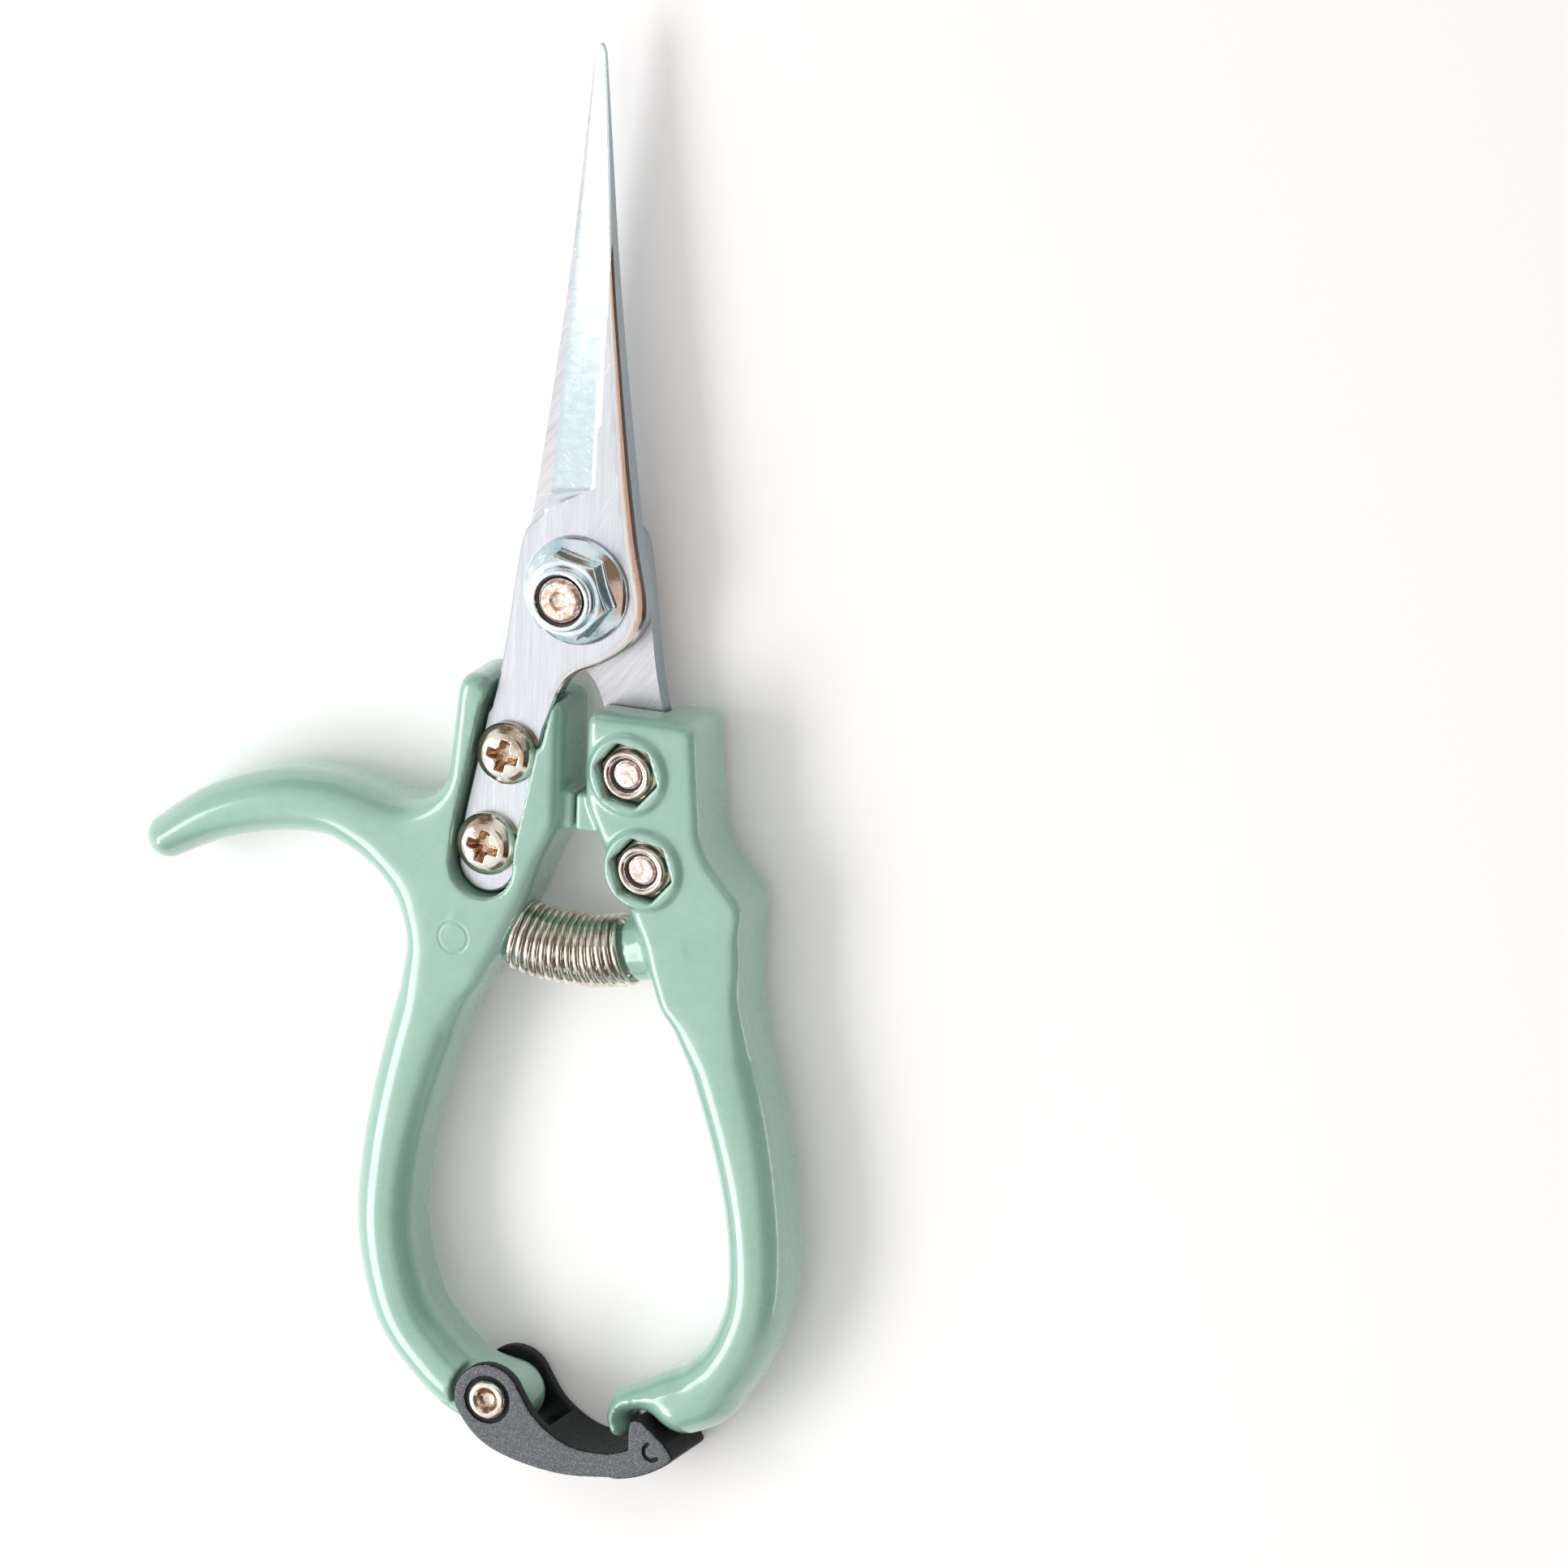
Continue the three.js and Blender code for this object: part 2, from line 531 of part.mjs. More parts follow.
// ---------------------------------------------------------------- latch
function latchSolid() {
  const half = LATCH_THICKNESS / 2;
  const at = (x, y) => new THREE.Vector2(LATCH_X + x, LATCH_Y + y);
  const outline = new THREE.Shape();
  outline.absarc(LATCH_X, LATCH_Y, EAR_RADIUS, 0.45, Math.PI * 1.1);
  outline.splineThru([
    at(-3.0, -3.6), at(-1.0, -5.5), at(1.8, -6.9), at(6.1, -8.0), at(11.0, -8.5), at(16.0, -8.1),
  ]);
  outline.lineTo(LATCH_X + 18.0, LATCH_Y - 8.05);
  outline.quadraticCurveTo(LATCH_X + 22.6, LATCH_Y - 6.9, LATCH_X + 25.6, LATCH_Y - 4.7);
  outline.quadraticCurveTo(LATCH_X + 25.9, LATCH_Y - 4.3, LATCH_X + 24.6, LATCH_Y - 2.5);
  outline.lineTo(LATCH_X + 21.5, LATCH_Y + 0.1);
  outline.lineTo(LATCH_X + 20.6, LATCH_Y + 0.2);
  outline.quadraticCurveTo(LATCH_X + 19.4, LATCH_Y + 0.1, LATCH_X + 19.5, LATCH_Y - 1.7);
  outline.lineTo(LATCH_X + 19.6, LATCH_Y - 3.9);
  outline.splineThru([
    at(17.2, -4.7), at(14.2, -4.9), at(11.2, -4.4), at(8.5, -3.0), at(6.2, -1.0),
  ]);

  const fork = LUG_THICKNESS / 2 + FORK_CLEARANCE;
  const notch = new THREE.BoxGeometry(8.4, 4.6, 2 * fork);
  notch.translate(4.2, 0, 0);
  notch.rotateZ(-0.3);
  notch.translate(LATCH_X, LATCH_Y, 0);
  return cut(slab(outline, -half, half, 3), [
    rod(EAR_RADIUS + 1.7, -fork, fork, LATCH_X, LATCH_Y),
    solid(notch),
    rod(RIVET_RADIUS + RIVET_RUNNING_FIT, -half - 1, half + 1, LATCH_X, LATCH_Y),
  ]);
}

function latchRivet() {
  const face = LATCH_THICKNESS / 2 + SEAT;
  const outer = face + RIVET_FLANGE_HEIGHT;
  return turned([
    [RIVET_BORE_RADIUS, -outer], [RIVET_FLANGE_RADIUS, -outer], [RIVET_FLANGE_RADIUS, -face],
    [RIVET_RADIUS, -face], [RIVET_RADIUS, face], [RIVET_FLANGE_RADIUS, face],
    [RIVET_FLANGE_RADIUS, outer], [RIVET_BORE_RADIUS, outer], [RIVET_BORE_RADIUS, -outer],
  ], LATCH_X, LATCH_Y);
}

// ---------------------------------------------------------------- assembly
function part(name, body, material) {
  const mesh = new THREE.Mesh(toGeometry(body), material());
  mesh.name = name;
  return mesh;
}

const overTurned = (body) => body.rotate([0, 180, 0]);

const snips = new THREE.Group();
snips.position.z = LIFT;
snips.add(
  part('thumb_handle', thumbHandle(), mintPaint),
  part('palm_handle', palmHandle(), mintPaint),
  part('front_blade', bladeSolid(), bladeSteel),
  part('back_blade', overTurned(bladeSolid()), bladeSteel),
  part('pivot_bolt', pivotBolt(), nickel),
  part('pivot_nut', pivotNut(), zinc),
  part('pivot_nut_insert', pivotNutInsert(), nylon),
  part('return_spring', returnSpring(), nickel),
  part('latch', latchSolid(), blackPlastic),
  part('latch_rivet', latchRivet(), nickel),
);
for (const screw of SCREWS) {
  const set = [
    ['tang_screw', tangScrew, nickel],
    ['tang_nut', tangNut, nickel],
    ['tang_nut_insert', tangNutInsert, nylon],
  ];
  for (const [name, make, material] of set) {
    snips.add(
      part(`front_${name}_${screw.number}`, make(screw), material),
      part(`back_${name}_${screw.number}`, overTurned(make(screw)), material),
    );
  }
}

export default snips;
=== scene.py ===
"""Needle-nose garden snips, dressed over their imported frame.

Pieces are shaped in millimetres about the plane between the two blades, with +Y towards the
blade tips and +Z towards the pivot nut. The Bench lifts each one into the frame, in metres, and
hangs it on the body that carries it. Castings, nuts, screws and the latch are Forms: distances
to a rounded surface, blended and cut, then skinned by a net of even faces. The blades are ground
plates and the spring is drawn wire.
"""

import json
import logging
import math
from dataclasses import dataclass, field
from enum import Enum, IntEnum
from typing import Callable, NamedTuple, Sequence

import bpy
import numpy as np
from mathutils import Matrix, Vector
from mathutils.geometry import delaunay_2d_cdt

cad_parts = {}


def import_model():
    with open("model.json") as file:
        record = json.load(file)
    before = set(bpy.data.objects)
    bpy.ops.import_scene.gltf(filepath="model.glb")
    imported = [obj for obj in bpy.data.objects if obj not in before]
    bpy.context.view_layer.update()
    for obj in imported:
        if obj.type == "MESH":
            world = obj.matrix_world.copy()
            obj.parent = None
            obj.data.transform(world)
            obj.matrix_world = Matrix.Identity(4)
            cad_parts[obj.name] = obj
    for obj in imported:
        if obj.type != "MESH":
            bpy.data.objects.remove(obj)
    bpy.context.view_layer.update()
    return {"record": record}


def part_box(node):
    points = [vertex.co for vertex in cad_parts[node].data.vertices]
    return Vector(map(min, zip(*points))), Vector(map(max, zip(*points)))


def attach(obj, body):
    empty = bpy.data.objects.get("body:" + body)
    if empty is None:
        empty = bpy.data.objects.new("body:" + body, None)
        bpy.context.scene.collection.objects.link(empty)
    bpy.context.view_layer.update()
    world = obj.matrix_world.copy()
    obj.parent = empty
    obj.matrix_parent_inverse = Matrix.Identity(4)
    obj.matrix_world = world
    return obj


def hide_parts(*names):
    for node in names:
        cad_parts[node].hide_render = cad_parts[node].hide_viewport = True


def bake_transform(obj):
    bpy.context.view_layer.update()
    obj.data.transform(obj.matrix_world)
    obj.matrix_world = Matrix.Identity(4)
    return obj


LOG = logging.getLogger("snips")
MM = 0.001
Colour = tuple[float, float, float]
Point = tuple[float, float]
Station = tuple[float, float, float]
Plan = Callable[[np.ndarray, np.ndarray], np.ndarray]


# ------------------------------------------------------------------ skins
@dataclass
class Skin:
    """The corners and faces of a piece, with the number of the finish on each face.

    Attributes:
        corners: one row of x, y, z per corner, in millimetres.
        faces: corner numbers of each face, anticlockwise from outside.
        zones: index of each face's finish.
    """

    corners: np.ndarray
    faces: list[list[int]]
    zones: np.ndarray

    def moved(self, x: float, y: float, z: float) -> "Skin":
        """Returns the skin moved by x, y, z."""
        return Skin(self.corners + np.array([x, y, z]), self.faces, self.zones)

    def turned_over(self) -> "Skin":
        """Returns the skin turned half round about Y."""
        return Skin(self.corners * np.array([-1.0, 1.0, -1.0]), self.faces, self.zones)

    def joined(self, other: "Skin") -> "Skin":
        """Joins another skin to this one.

        Args:
            other: the other skin.

        Returns:
            Both, as one skin.
        """
        start = len(self.corners)
        return Skin(
            np.vstack([self.corners, other.corners]),
            self.faces + [[i + start for i in face] for face in other.faces],
            np.concatenate([self.zones, other.zones]),
        )

    def normals(self) -> np.ndarray:
        """Finds which way the faces look.

        Returns:
            Each face's outward unit normal, from its first three corners.
        """
        ends = np.array([face[:3] for face in self.faces])
        a, b, c = (self.corners[ends[:, i]] for i in range(3))
        across = np.cross(b - a, c - a)
        return across / np.maximum(np.linalg.norm(across, axis=1, keepdims=True), 1e-12)

    def zoned(self, rule: Plan) -> "Skin":
        """Gives each face a finish by a rule.

        Args:
            rule: takes the faces' middles and normals, returns the finish numbers.

        Returns:
            The skin with its new zones.
        """
        middles = np.array([self.corners[face].mean(axis=0) for face in self.faces])
        return Skin(self.corners, self.faces, rule(middles, self.normals()).astype(int))


def even_net(values: np.ndarray, low: np.ndarray, step: float) -> Skin:
    """Skins the zero surface of a block of distances with four-sided faces.

    Args:
        values: distances at the corners of a regular block, negative inside.
        low: the block's lowest corner, in millimetres.
        step: the block's spacing, in millimetres.

    Returns:
        A closed skin.
    """
    cells = tuple(n - 1 for n in values.shape)
    total = np.zeros(cells + (3,), np.float32)
    count = np.zeros(cells, np.float32)
    edges = []
    for axis in range(3):
        first, second = [slice(None)] * 3, [slice(None)] * 3
        first[axis], second[axis] = slice(0, -1), slice(1, None)
        a, b = values[tuple(first)], values[tuple(second)]
        crossing = (a < 0) != (b < 0)
        share = np.where(crossing, a / np.where(crossing, a - b, 1.0), 0.0)
        u, v = (k for k in range(3) if k != axis)
        for du in (0, 1):
            for dv in (0, 1):
                part = [slice(None)] * 3
                part[u], part[v] = slice(du, du + cells[u]), slice(dv, dv + cells[v])
                hit = crossing[tuple(part)]
                total[..., axis] += share[tuple(part)]
                total[..., u] += hit * du
                total[..., v] += hit * dv
                count += hit
        edges.append((axis, u, v, crossing, a))
    used = np.argwhere(count > 0)
    number = np.full(cells, -1)
    number[tuple(used.T)] = np.arange(len(used))
    spots = used + total[tuple(used.T)] / count[tuple(used.T)][:, None]
    quads = []
    for axis, u, v, crossing, a in edges:
        at = np.argwhere(crossing)
        inner = (at[:, u] > 0) & (at[:, v] > 0) & (at[:, u] < cells[u]) & (at[:, v] < cells[v])
        at = at[inner]
        back_u, back_v = np.zeros(3, int), np.zeros(3, int)
        back_u[u], back_v[v] = 1, 1
        ring = [at - back_u - back_v, at - back_v, at, at - back_u]
        quad = np.stack([number[tuple(cell.T)] for cell in ring], axis=1)
        outward = (a[tuple(at.T)] < 0) != (axis == 1)
        quads.append(np.where(outward[:, None], quad, quad[:, ::-1]))
    faces = np.concatenate(quads)
    return Skin(low + spots * step, faces.tolist(), np.zeros(len(faces), int))


# ------------------------------------------------------------------ flat outlines
def curve(points: Sequence[Sequence[float]], spans: int) -> np.ndarray:
    """Draws a smooth curve through points.

    Args:
        points: rows of numbers that the curve passes through.
        spans: short straight spans between two points.

    Returns:
        The rows along the curve, ends included.
    """
    p = np.array(points, float)
    p = np.vstack([p[0], p, p[-1]])
    t = (np.arange(spans) / spans)[:, None]
    rows = []
    for a, b, c, d in zip(p, p[1:], p[2:], p[3:]):
        rows.append(0.5 * (
            2 * b + (c - a) * t + (2 * a - 5 * b + 4 * c - d) * t**2
            + (3 * b - a - 3 * c + d) * t**3))
    return np.vstack(rows + [p[-1:]])


def eased_polygon(corners: Sequence[Station], spans: int = 6) -> np.ndarray:
    """Rounds the corners of a polygon.

    Args:
        corners: x, y and how far the rounding reaches along each side.
        spans: short spans in each rounded corner.

    Returns:
        The outline's points.
    """
    rows = []
    for i, (x, y, reach) in enumerate(corners):
        here = np.array([x, y])
        ends = []
        for j in (i - 1, (i + 1) % len(corners)):
            side = np.array(corners[j][:2]) - here
            length = np.hypot(*side)
            ends.append(here + side / length * min(reach, 0.45 * length))
        for t in np.linspace(0, 1, spans + 1):
            rows.append((1 - t) ** 2 * ends[0] + 2 * t * (1 - t) * here + t**2 * ends[1])
    return np.array(rows)


def around(outline: np.ndarray) -> Plan:
    """Gives the signed distance to a closed outline, negative inside.

    Args:
        outline: its points in order.

    Returns:
        A function of x and y.
    """

    def distance(x: np.ndarray, y: np.ndarray) -> np.ndarray:
        """Measures to the outline.

        Args:
            x: places across the tool.
            y: places along it.

        Returns:
            The signed distances.
        """
        x, y = np.broadcast_arrays(x, y)
        nearest = np.full(x.shape, 1e9)
        inside = np.zeros(x.shape, bool)
        for (ax, ay), (bx, by) in zip(outline, np.roll(outline, -1, axis=0)):
            ex, ey = bx - ax, by - ay
            length = ex * ex + ey * ey
            if length < 1e-12:
                continue
            t = np.clip(((x - ax) * ex + (y - ay) * ey) / length, 0, 1)
            nearest = np.minimum(nearest, (x - ax - t * ex) ** 2 + (y - ay - t * ey) ** 2)
            spans = (ay > y) != (by > y)
            if ey != 0:
                inside ^= spans & (x < ax + ex * (y - ay) / ey)
        root = np.sqrt(nearest)
        return np.where(inside, -root, root)

    return distance


def along(stations: Sequence[Station], grow: float = 0.0, spans: int = 8) -> Plan:
    """Gives the signed distance to a limb of changing width, negative inside.

    Args:
        stations: x, y and half width along the limb's middle.
        grow: added to every half width.
        spans: short spans between two stations.

    Returns:
        A function of x and y.
    """
    middle = curve(stations, spans)

    def distance(x: np.ndarray, y: np.ndarray) -> np.ndarray:
        """Measures to the limb.

        Args:
            x: places across the tool.
            y: places along it.

        Returns:
            The signed distances.
        """
        x, y = np.broadcast_arrays(x, y)
        nearest = np.full(x.shape, 1e9)
        for (ax, ay, aw), (bx, by, bw) in zip(middle, middle[1:]):
            ex, ey = bx - ax, by - ay
            t = np.clip(((x - ax) * ex + (y - ay) * ey) / max(ex * ex + ey * ey, 1e-12), 0, 1)
            gap = np.hypot(x - ax - t * ex, y - ay - t * ey) - (aw + t * (bw - aw))
            nearest = np.minimum(nearest, gap)
        return nearest - grow

    return distance


def disc(x0: float, y0: float, radius: float) -> Plan:
    """Returns the signed distance to a circle, as a function of x and y."""
    return lambda x, y: np.hypot(x - x0, y - y0) - radius


def hexagon(x0: float, y0: float, across: float, turn: float) -> Plan:
    """Gives the signed distance to a hexagon.

    Args:
        x0: its middle, across.
        y0: its middle, along the tool.
        across: size across its flats.
        turn: how far its first corner is turned from +Y, in degrees.

    Returns:
        A function of x and y.
    """
    angles = np.radians(90 + turn + 60 * np.arange(6))
    radius = across / math.sqrt(3)
    return around(np.stack([x0 + radius * np.cos(angles), y0 + radius * np.sin(angles)], axis=1))


# ------------------------------------------------------------------ rounded forms
class Spot(NamedTuple):
    """Where distances are asked for: three arrays that broadcast together.

    Attributes:
        x: places across the tool.
        y: places along it.
        z: heights above the mid plane.
    """

    x: np.ndarray
    y: np.ndarray
    z: np.ndarray


def soft_least(a: np.ndarray, b: np.ndarray, fillet: float) -> np.ndarray:
    """Takes the lesser of two distances, eased where they meet.

    Args:
        a: the first.
        b: the second.
        fillet: width of the easing, in millimetres, or 0 for none.

    Returns:
        The eased lesser.
    """
    if fillet <= 0:
        return np.minimum(a, b)
    share = np.clip(0.5 + 0.5 * (b - a) / fillet, 0, 1)
    return b + (a - b) * share - fillet * share * (1 - share)


@dataclass(frozen=True)
class Form:
    """A solid as the distance from any spot to its surface, negative inside.

    Attributes:
        distance: a function of a Spot.
    """

    distance: Callable[[Spot], np.ndarray]

    def plus(self, other: "Form", fillet: float = 0.0) -> "Form":
        """Returns both forms run together over a fillet."""
        return Form(lambda at: soft_least(self.distance(at), other.distance(at), fillet))

    def less(self, other: "Form", fillet: float = 0.0) -> "Form":
        """Returns this form with another cut out of it, its rim eased."""
        return Form(lambda at: -soft_least(-self.distance(at), other.distance(at), fillet))

    def within(self, other: "Form", fillet: float = 0.0) -> "Form":
        """Returns what lies inside both forms, its rim eased."""
        return Form(lambda at: -soft_least(-self.distance(at), -other.distance(at), fillet))

    def turned_over(self) -> "Form":
        """Returns the form turned half round about Y."""
        return Form(lambda at: self.distance(Spot(-at.x, at.y, -at.z)))

    def skin(self, low: Sequence[float], high: Sequence[float], step: float) -> Skin:
        """Skins the form.

        Args:
            low: lowest corner of a box that holds it.
            high: highest corner of that box.
            step: size of a face, in millimetres.

        Returns:
            A closed skin.
        """
        low, high = np.array(low, float) - 2.3 * step, np.array(high, float) + 2.3 * step
        x, y, z = (np.arange(a, b + step, step, dtype=np.float32) for a, b in zip(low, high))
        at = Spot(x[:, None, None], y[None, :, None], z[None, None, :])
        shape = (len(x), len(y), len(z))
        values = np.broadcast_to(self.distance(at), shape).astype(np.float32)
        return even_net(values, low, step)


def slab(flat: Plan, z0: float, z1: float, rim: float = 0.0) -> Form:
    """Raises a flat outline into a form with rounded rims.

    Args:
        flat: signed distance to the outline.
        z0: its lower face.
        z1: its upper face.
        rim: radius of the rims.

    Returns:
        The form.
    """
    middle, half = (z0 + z1) / 2, (z1 - z0) / 2

    def distance(at: Spot) -> np.ndarray:
        """Measures to the slab.

        Args:
            at: where it is wanted.

        Returns:
            The distances.
        """
        out = flat(at.x, at.y) + rim
        up = np.abs(at.z - middle) - half + rim
        return np.minimum(np.maximum(out, up), 0) + np.hypot(
            np.maximum(out, 0), np.maximum(up, 0)) - rim

    return Form(distance)


def turned(profile: Sequence[Point], x0: float = 0.0, y0: float = 0.0) -> Form:
    """Turns a profile about an axis along Z.

    Args:
        profile: radius and z of each corner, closed on itself.
        x0: where the axis stands across.
        y0: where it stands along the tool.

    Returns:
        The form.
    """
    both = np.array(list(profile) + [(-r, z) for r, z in reversed(profile)])
    rim = around(both if min(r for r, _ in profile) <= 0 else np.array(profile))
    return Form(lambda at: rim(np.hypot(at.x - x0, at.y - y0), at.z))


# ------------------------------------------------------------------ finishes
class Tree:
    """A material's nodes, added one at a time round its shader."""

    def __init__(self, name: str) -> None:
        """Starts a material.

        Args:
            name: the material's name.
        """
        self.material = bpy.data.materials.new(name)
        self.material.use_nodes = True
        self.nodes = self.material.node_tree.nodes
        self.links = self.material.node_tree.links
        self.shader = self.nodes["Principled BSDF"]

    def add(self, kind: str, **settings: object) -> bpy.types.Node:
        """Adds a node.

        Args:
            kind: its type, without the leading ShaderNode.
            **settings: its properties.

        Returns:
            The node.
        """
        node = self.nodes.new("ShaderNode" + kind)
        for name, value in settings.items():
            setattr(node, name, value)
        return node

    def feed(self, socket: bpy.types.NodeSocket, value: object) -> None:
        """Links a socket to a value, or sets it.

        Args:
            socket: the socket.
            value: another socket, a number or a colour.
        """
        if isinstance(value, bpy.types.NodeSocket):
            self.links.new(value, socket)
        elif isinstance(value, tuple) and len(value) == 3 and len(socket.default_value) == 4:
            socket.default_value = (*value, 1.0)
        else:
            socket.default_value = value

    def set(self, **inputs: object) -> None:
        """Sets the shader's inputs, named with underscores for spaces."""
        for name, value in inputs.items():
            self.feed(self.shader.inputs[name.replace("_", " ")], value)

    def grain(
        self, scale: float, stretch: Colour = (1.0, 1.0, 1.0), turn: float = 0.0,
        detail: float = 3.0, rough: float = 0.5,
    ) -> bpy.types.NodeSocket:
        """Adds noise on the piece's own coordinates.

        Args:
            scale: features per metre.
            stretch: how that is multiplied along x, y and z.
            turn: turn of the noise about z, in degrees.
            detail: octaves.
            rough: how strong the finer octaves are.

        Returns:
            The noise's value.
        """
        place = self.add("TexCoord").outputs["Object"]
        if turn:
            spin = self.add("Mapping")
            spin.inputs["Rotation"].default_value[2] = math.radians(turn)
            self.links.new(place, spin.inputs["Vector"])
            place = spin.outputs["Vector"]
        if stretch != (1.0, 1.0, 1.0):
            spread = self.add("Mapping")
            spread.inputs["Scale"].default_value = stretch
            self.links.new(place, spread.inputs["Vector"])
            place = spread.outputs["Vector"]
        noise = self.add("TexNoise")
        self.links.new(place, noise.inputs["Vector"])
        noise.inputs["Scale"].default_value = scale
        noise.inputs["Detail"].default_value = detail
        noise.inputs["Roughness"].default_value = rough
        return noise.outputs["Fac"]

    def span(self, value: object, a: float, b: float, to_a: float, to_b: float) -> object:
        """Carries a value from one range to another and holds it there.

        Args:
            value: the value.
            a: low end of the first range.
            b: its high end.
            to_a: low end of the second range.
            to_b: its high end.

        Returns:
            The new value.
        """
        node = self.add("MapRange")
        for name, number in (("Value", value), ("From Min", a), ("From Max", b),
                             ("To Min", to_a), ("To Max", to_b)):
            self.feed(node.inputs[name], number)
        return node.outputs["Result"]

    def sum(self, operation: str, a: object, b: object) -> bpy.types.NodeSocket:
        """Joins two values by a math operation.

        Args:
            operation: the operation's name.
            a: the first value.
            b: the second value.

        Returns:
            The result.
        """
        node = self.add("Math", operation=operation)
        self.feed(node.inputs[0], a)
        self.feed(node.inputs[1], b)
        return node.outputs[0]

    def blend(self, share: object, a: object, b: object) -> bpy.types.NodeSocket:
        """Turns one colour into another.

        Args:
            share: how much of the second shows.
            a: the first colour.
            b: the second colour.

        Returns:
            The mixed colour.
        """
        node = self.add("Mix", data_type="RGBA")
        self.feed(node.inputs[0], share)
        self.feed(node.inputs[6], a)
        self.feed(node.inputs[7], b)
        return node.outputs[2]

    def raise_by(self, height: object, depth: float, before: object = None) -> object:
        """Adds a bump.

        Args:
            height: what lifts the surface, 0 to 1.
            depth: how far, in millimetres.
            before: a normal that it is laid over.

        Returns:
            The new normal.
        """
        node = self.add("Bump")
        node.inputs["Distance"].default_value = depth * MM
        node.inputs["Strength"].default_value = 1.0
        self.feed(node.inputs["Height"], height)
        if before is not None:
            self.links.new(before, node.inputs["Normal"])
        return node.outputs["Normal"]

    def worn_edge(self, low: float, high: float) -> bpy.types.NodeSocket:
        """Returns 0 on flats and hollows, rising to 1 on sharp outer edges."""
        return self.span(self.add("NewGeometry").outputs["Pointiness"], low, high, 0.0, 1.0)


@dataclass(frozen=True)
class GlossPaint:
    """Gloss enamel sprayed on a casting, with a slight orange peel and pale flecks.

    Attributes:
        name: the material's name.
        body: the enamel's colour.
        deep: its colour where it lies thick.
        thin: its colour where it lies thin.
        mark: where an ejector pin left its ring, in millimetres.
        mark_radius: the ring's radius, or 0 for none.
    """

    name: str = "mint_gloss_paint"
    body: Colour = (0.315, 0.550, 0.440)
    deep: Colour = (0.255, 0.485, 0.382)
    thin: Colour = (0.52, 0.70, 0.62)
    mark: Point = (0.0, 0.0)
    mark_radius: float = 0.0

    def material(self) -> bpy.types.Material:
        """Makes the paint, with a faint ejector-pin ring at its mark if it has one.

        Returns:
            The material.
        """
        tree = Tree(self.name)
        cloud = tree.grain(85.0, detail=2.0)
        colour = tree.blend(tree.span(cloud, 0.35, 0.7, 0.0, 0.45), self.body, self.deep)
        fleck = tree.span(tree.grain(900.0, detail=4.0), 0.40, 0.62, 0.0, 0.08)
        colour = tree.blend(fleck, colour, self.thin)
        peel = tree.raise_by(tree.grain(1300.0, detail=1.0), 0.0025)
        wave = tree.raise_by(tree.grain(150.0, detail=1.0), 0.02, peel)
        if self.mark_radius > 0:
            wave = tree.raise_by(self._ring(tree), 0.10, wave)
        rough = tree.span(tree.grain(420.0), 0.3, 0.7, 0.24, 0.34)
        tree.set(Base_Color=colour, Roughness=rough, Normal=wave, Coat_Weight=1.0,
                 Coat_Roughness=0.12, Coat_IOR=1.6, Specular_IOR_Level=0.7)
        return tree.material

    def _ring(self, tree: Tree) -> bpy.types.NodeSocket:
        """Dips the surface in a thin ring about the mark.

        Args:
            tree: the material's nodes.

        Returns:
            A height, 0 in the ring and 1 clear of it.
        """
        apart = tree.add("SeparateXYZ")
        tree.links.new(tree.add("TexCoord").outputs["Object"], apart.inputs[0])
        across = tree.sum("SUBTRACT", apart.outputs[0], self.mark[0] * MM)
        up = tree.sum("SUBTRACT", apart.outputs[1], self.mark[1] * MM)
        square = tree.sum("ADD", tree.sum("POWER", across, 2.0), tree.sum("POWER", up, 2.0))
        gap = tree.sum("SUBTRACT", tree.sum("SQRT", square, 0.0), self.mark_radius * MM)
        return tree.span(tree.sum("ABSOLUTE", gap, 0.0), 0.0, 0.0003, 0.0, 1.0)


class Lay(Enum):
    """Which way a steel face was finished: turn in degrees from lengthwise."""

    LENGTHWISE = 0.0
    ACROSS = 82.0
    DIAGONAL = 38.0


@dataclass(frozen=True)
class BrushedSteel:
    """Ground or brushed steel, with its lines laid one way and stray scratches.

    Attributes:
        name: the material's name.
        face: colour of the steel.
        streak: colour of its lines.
        lay: which way the lines run.
        rough: least and greatest roughness.
        depth: depth of the lines, in millimetres.
    """

    name: str
    face: Colour
    streak: Colour
    lay: Lay
    rough: tuple[float, float] = (0.22, 0.36)
    depth: float = 0.006

    def material(self) -> bpy.types.Material:
        """Makes the steel.

        Returns:
            The material.
        """
        tree = Tree(self.name)
        lines = tree.grain(1.0, (7000.0, 160.0, 7000.0), self.lay.value, detail=4.0)
        broad = tree.grain(1.0, (1500.0, 60.0, 1500.0), self.lay.value, detail=2.0)
        cloud = tree.grain(60.0, detail=3.0)
        tone = tree.blend(tree.span(lines, 0.35, 0.68, 0.0, 0.75), self.face, self.streak)
        tone = tree.blend(tree.span(cloud, 0.45, 0.75, 0.0, 0.30), tone, self.streak)
        scratch = tree.span(
            tree.grain(1.0, (2600.0, 55.0, 2600.0), self.lay.value + 31.0, detail=1.0),
            0.70, 0.76, 0.0, 1.0)
        tone = tree.blend(tree.sum("MULTIPLY", scratch, 0.35), tone, (0.95, 0.95, 0.96))
        normal = tree.raise_by(lines, self.depth)
        normal = tree.raise_by(broad, self.depth * 0.8, normal)
        normal = tree.raise_by(scratch, self.depth, normal)
        tree.set(Base_Color=tone, Metallic=1.0, Roughness=tree.span(broad, 0.3, 0.7, *self.rough),
                 Normal=normal)
        return tree.material


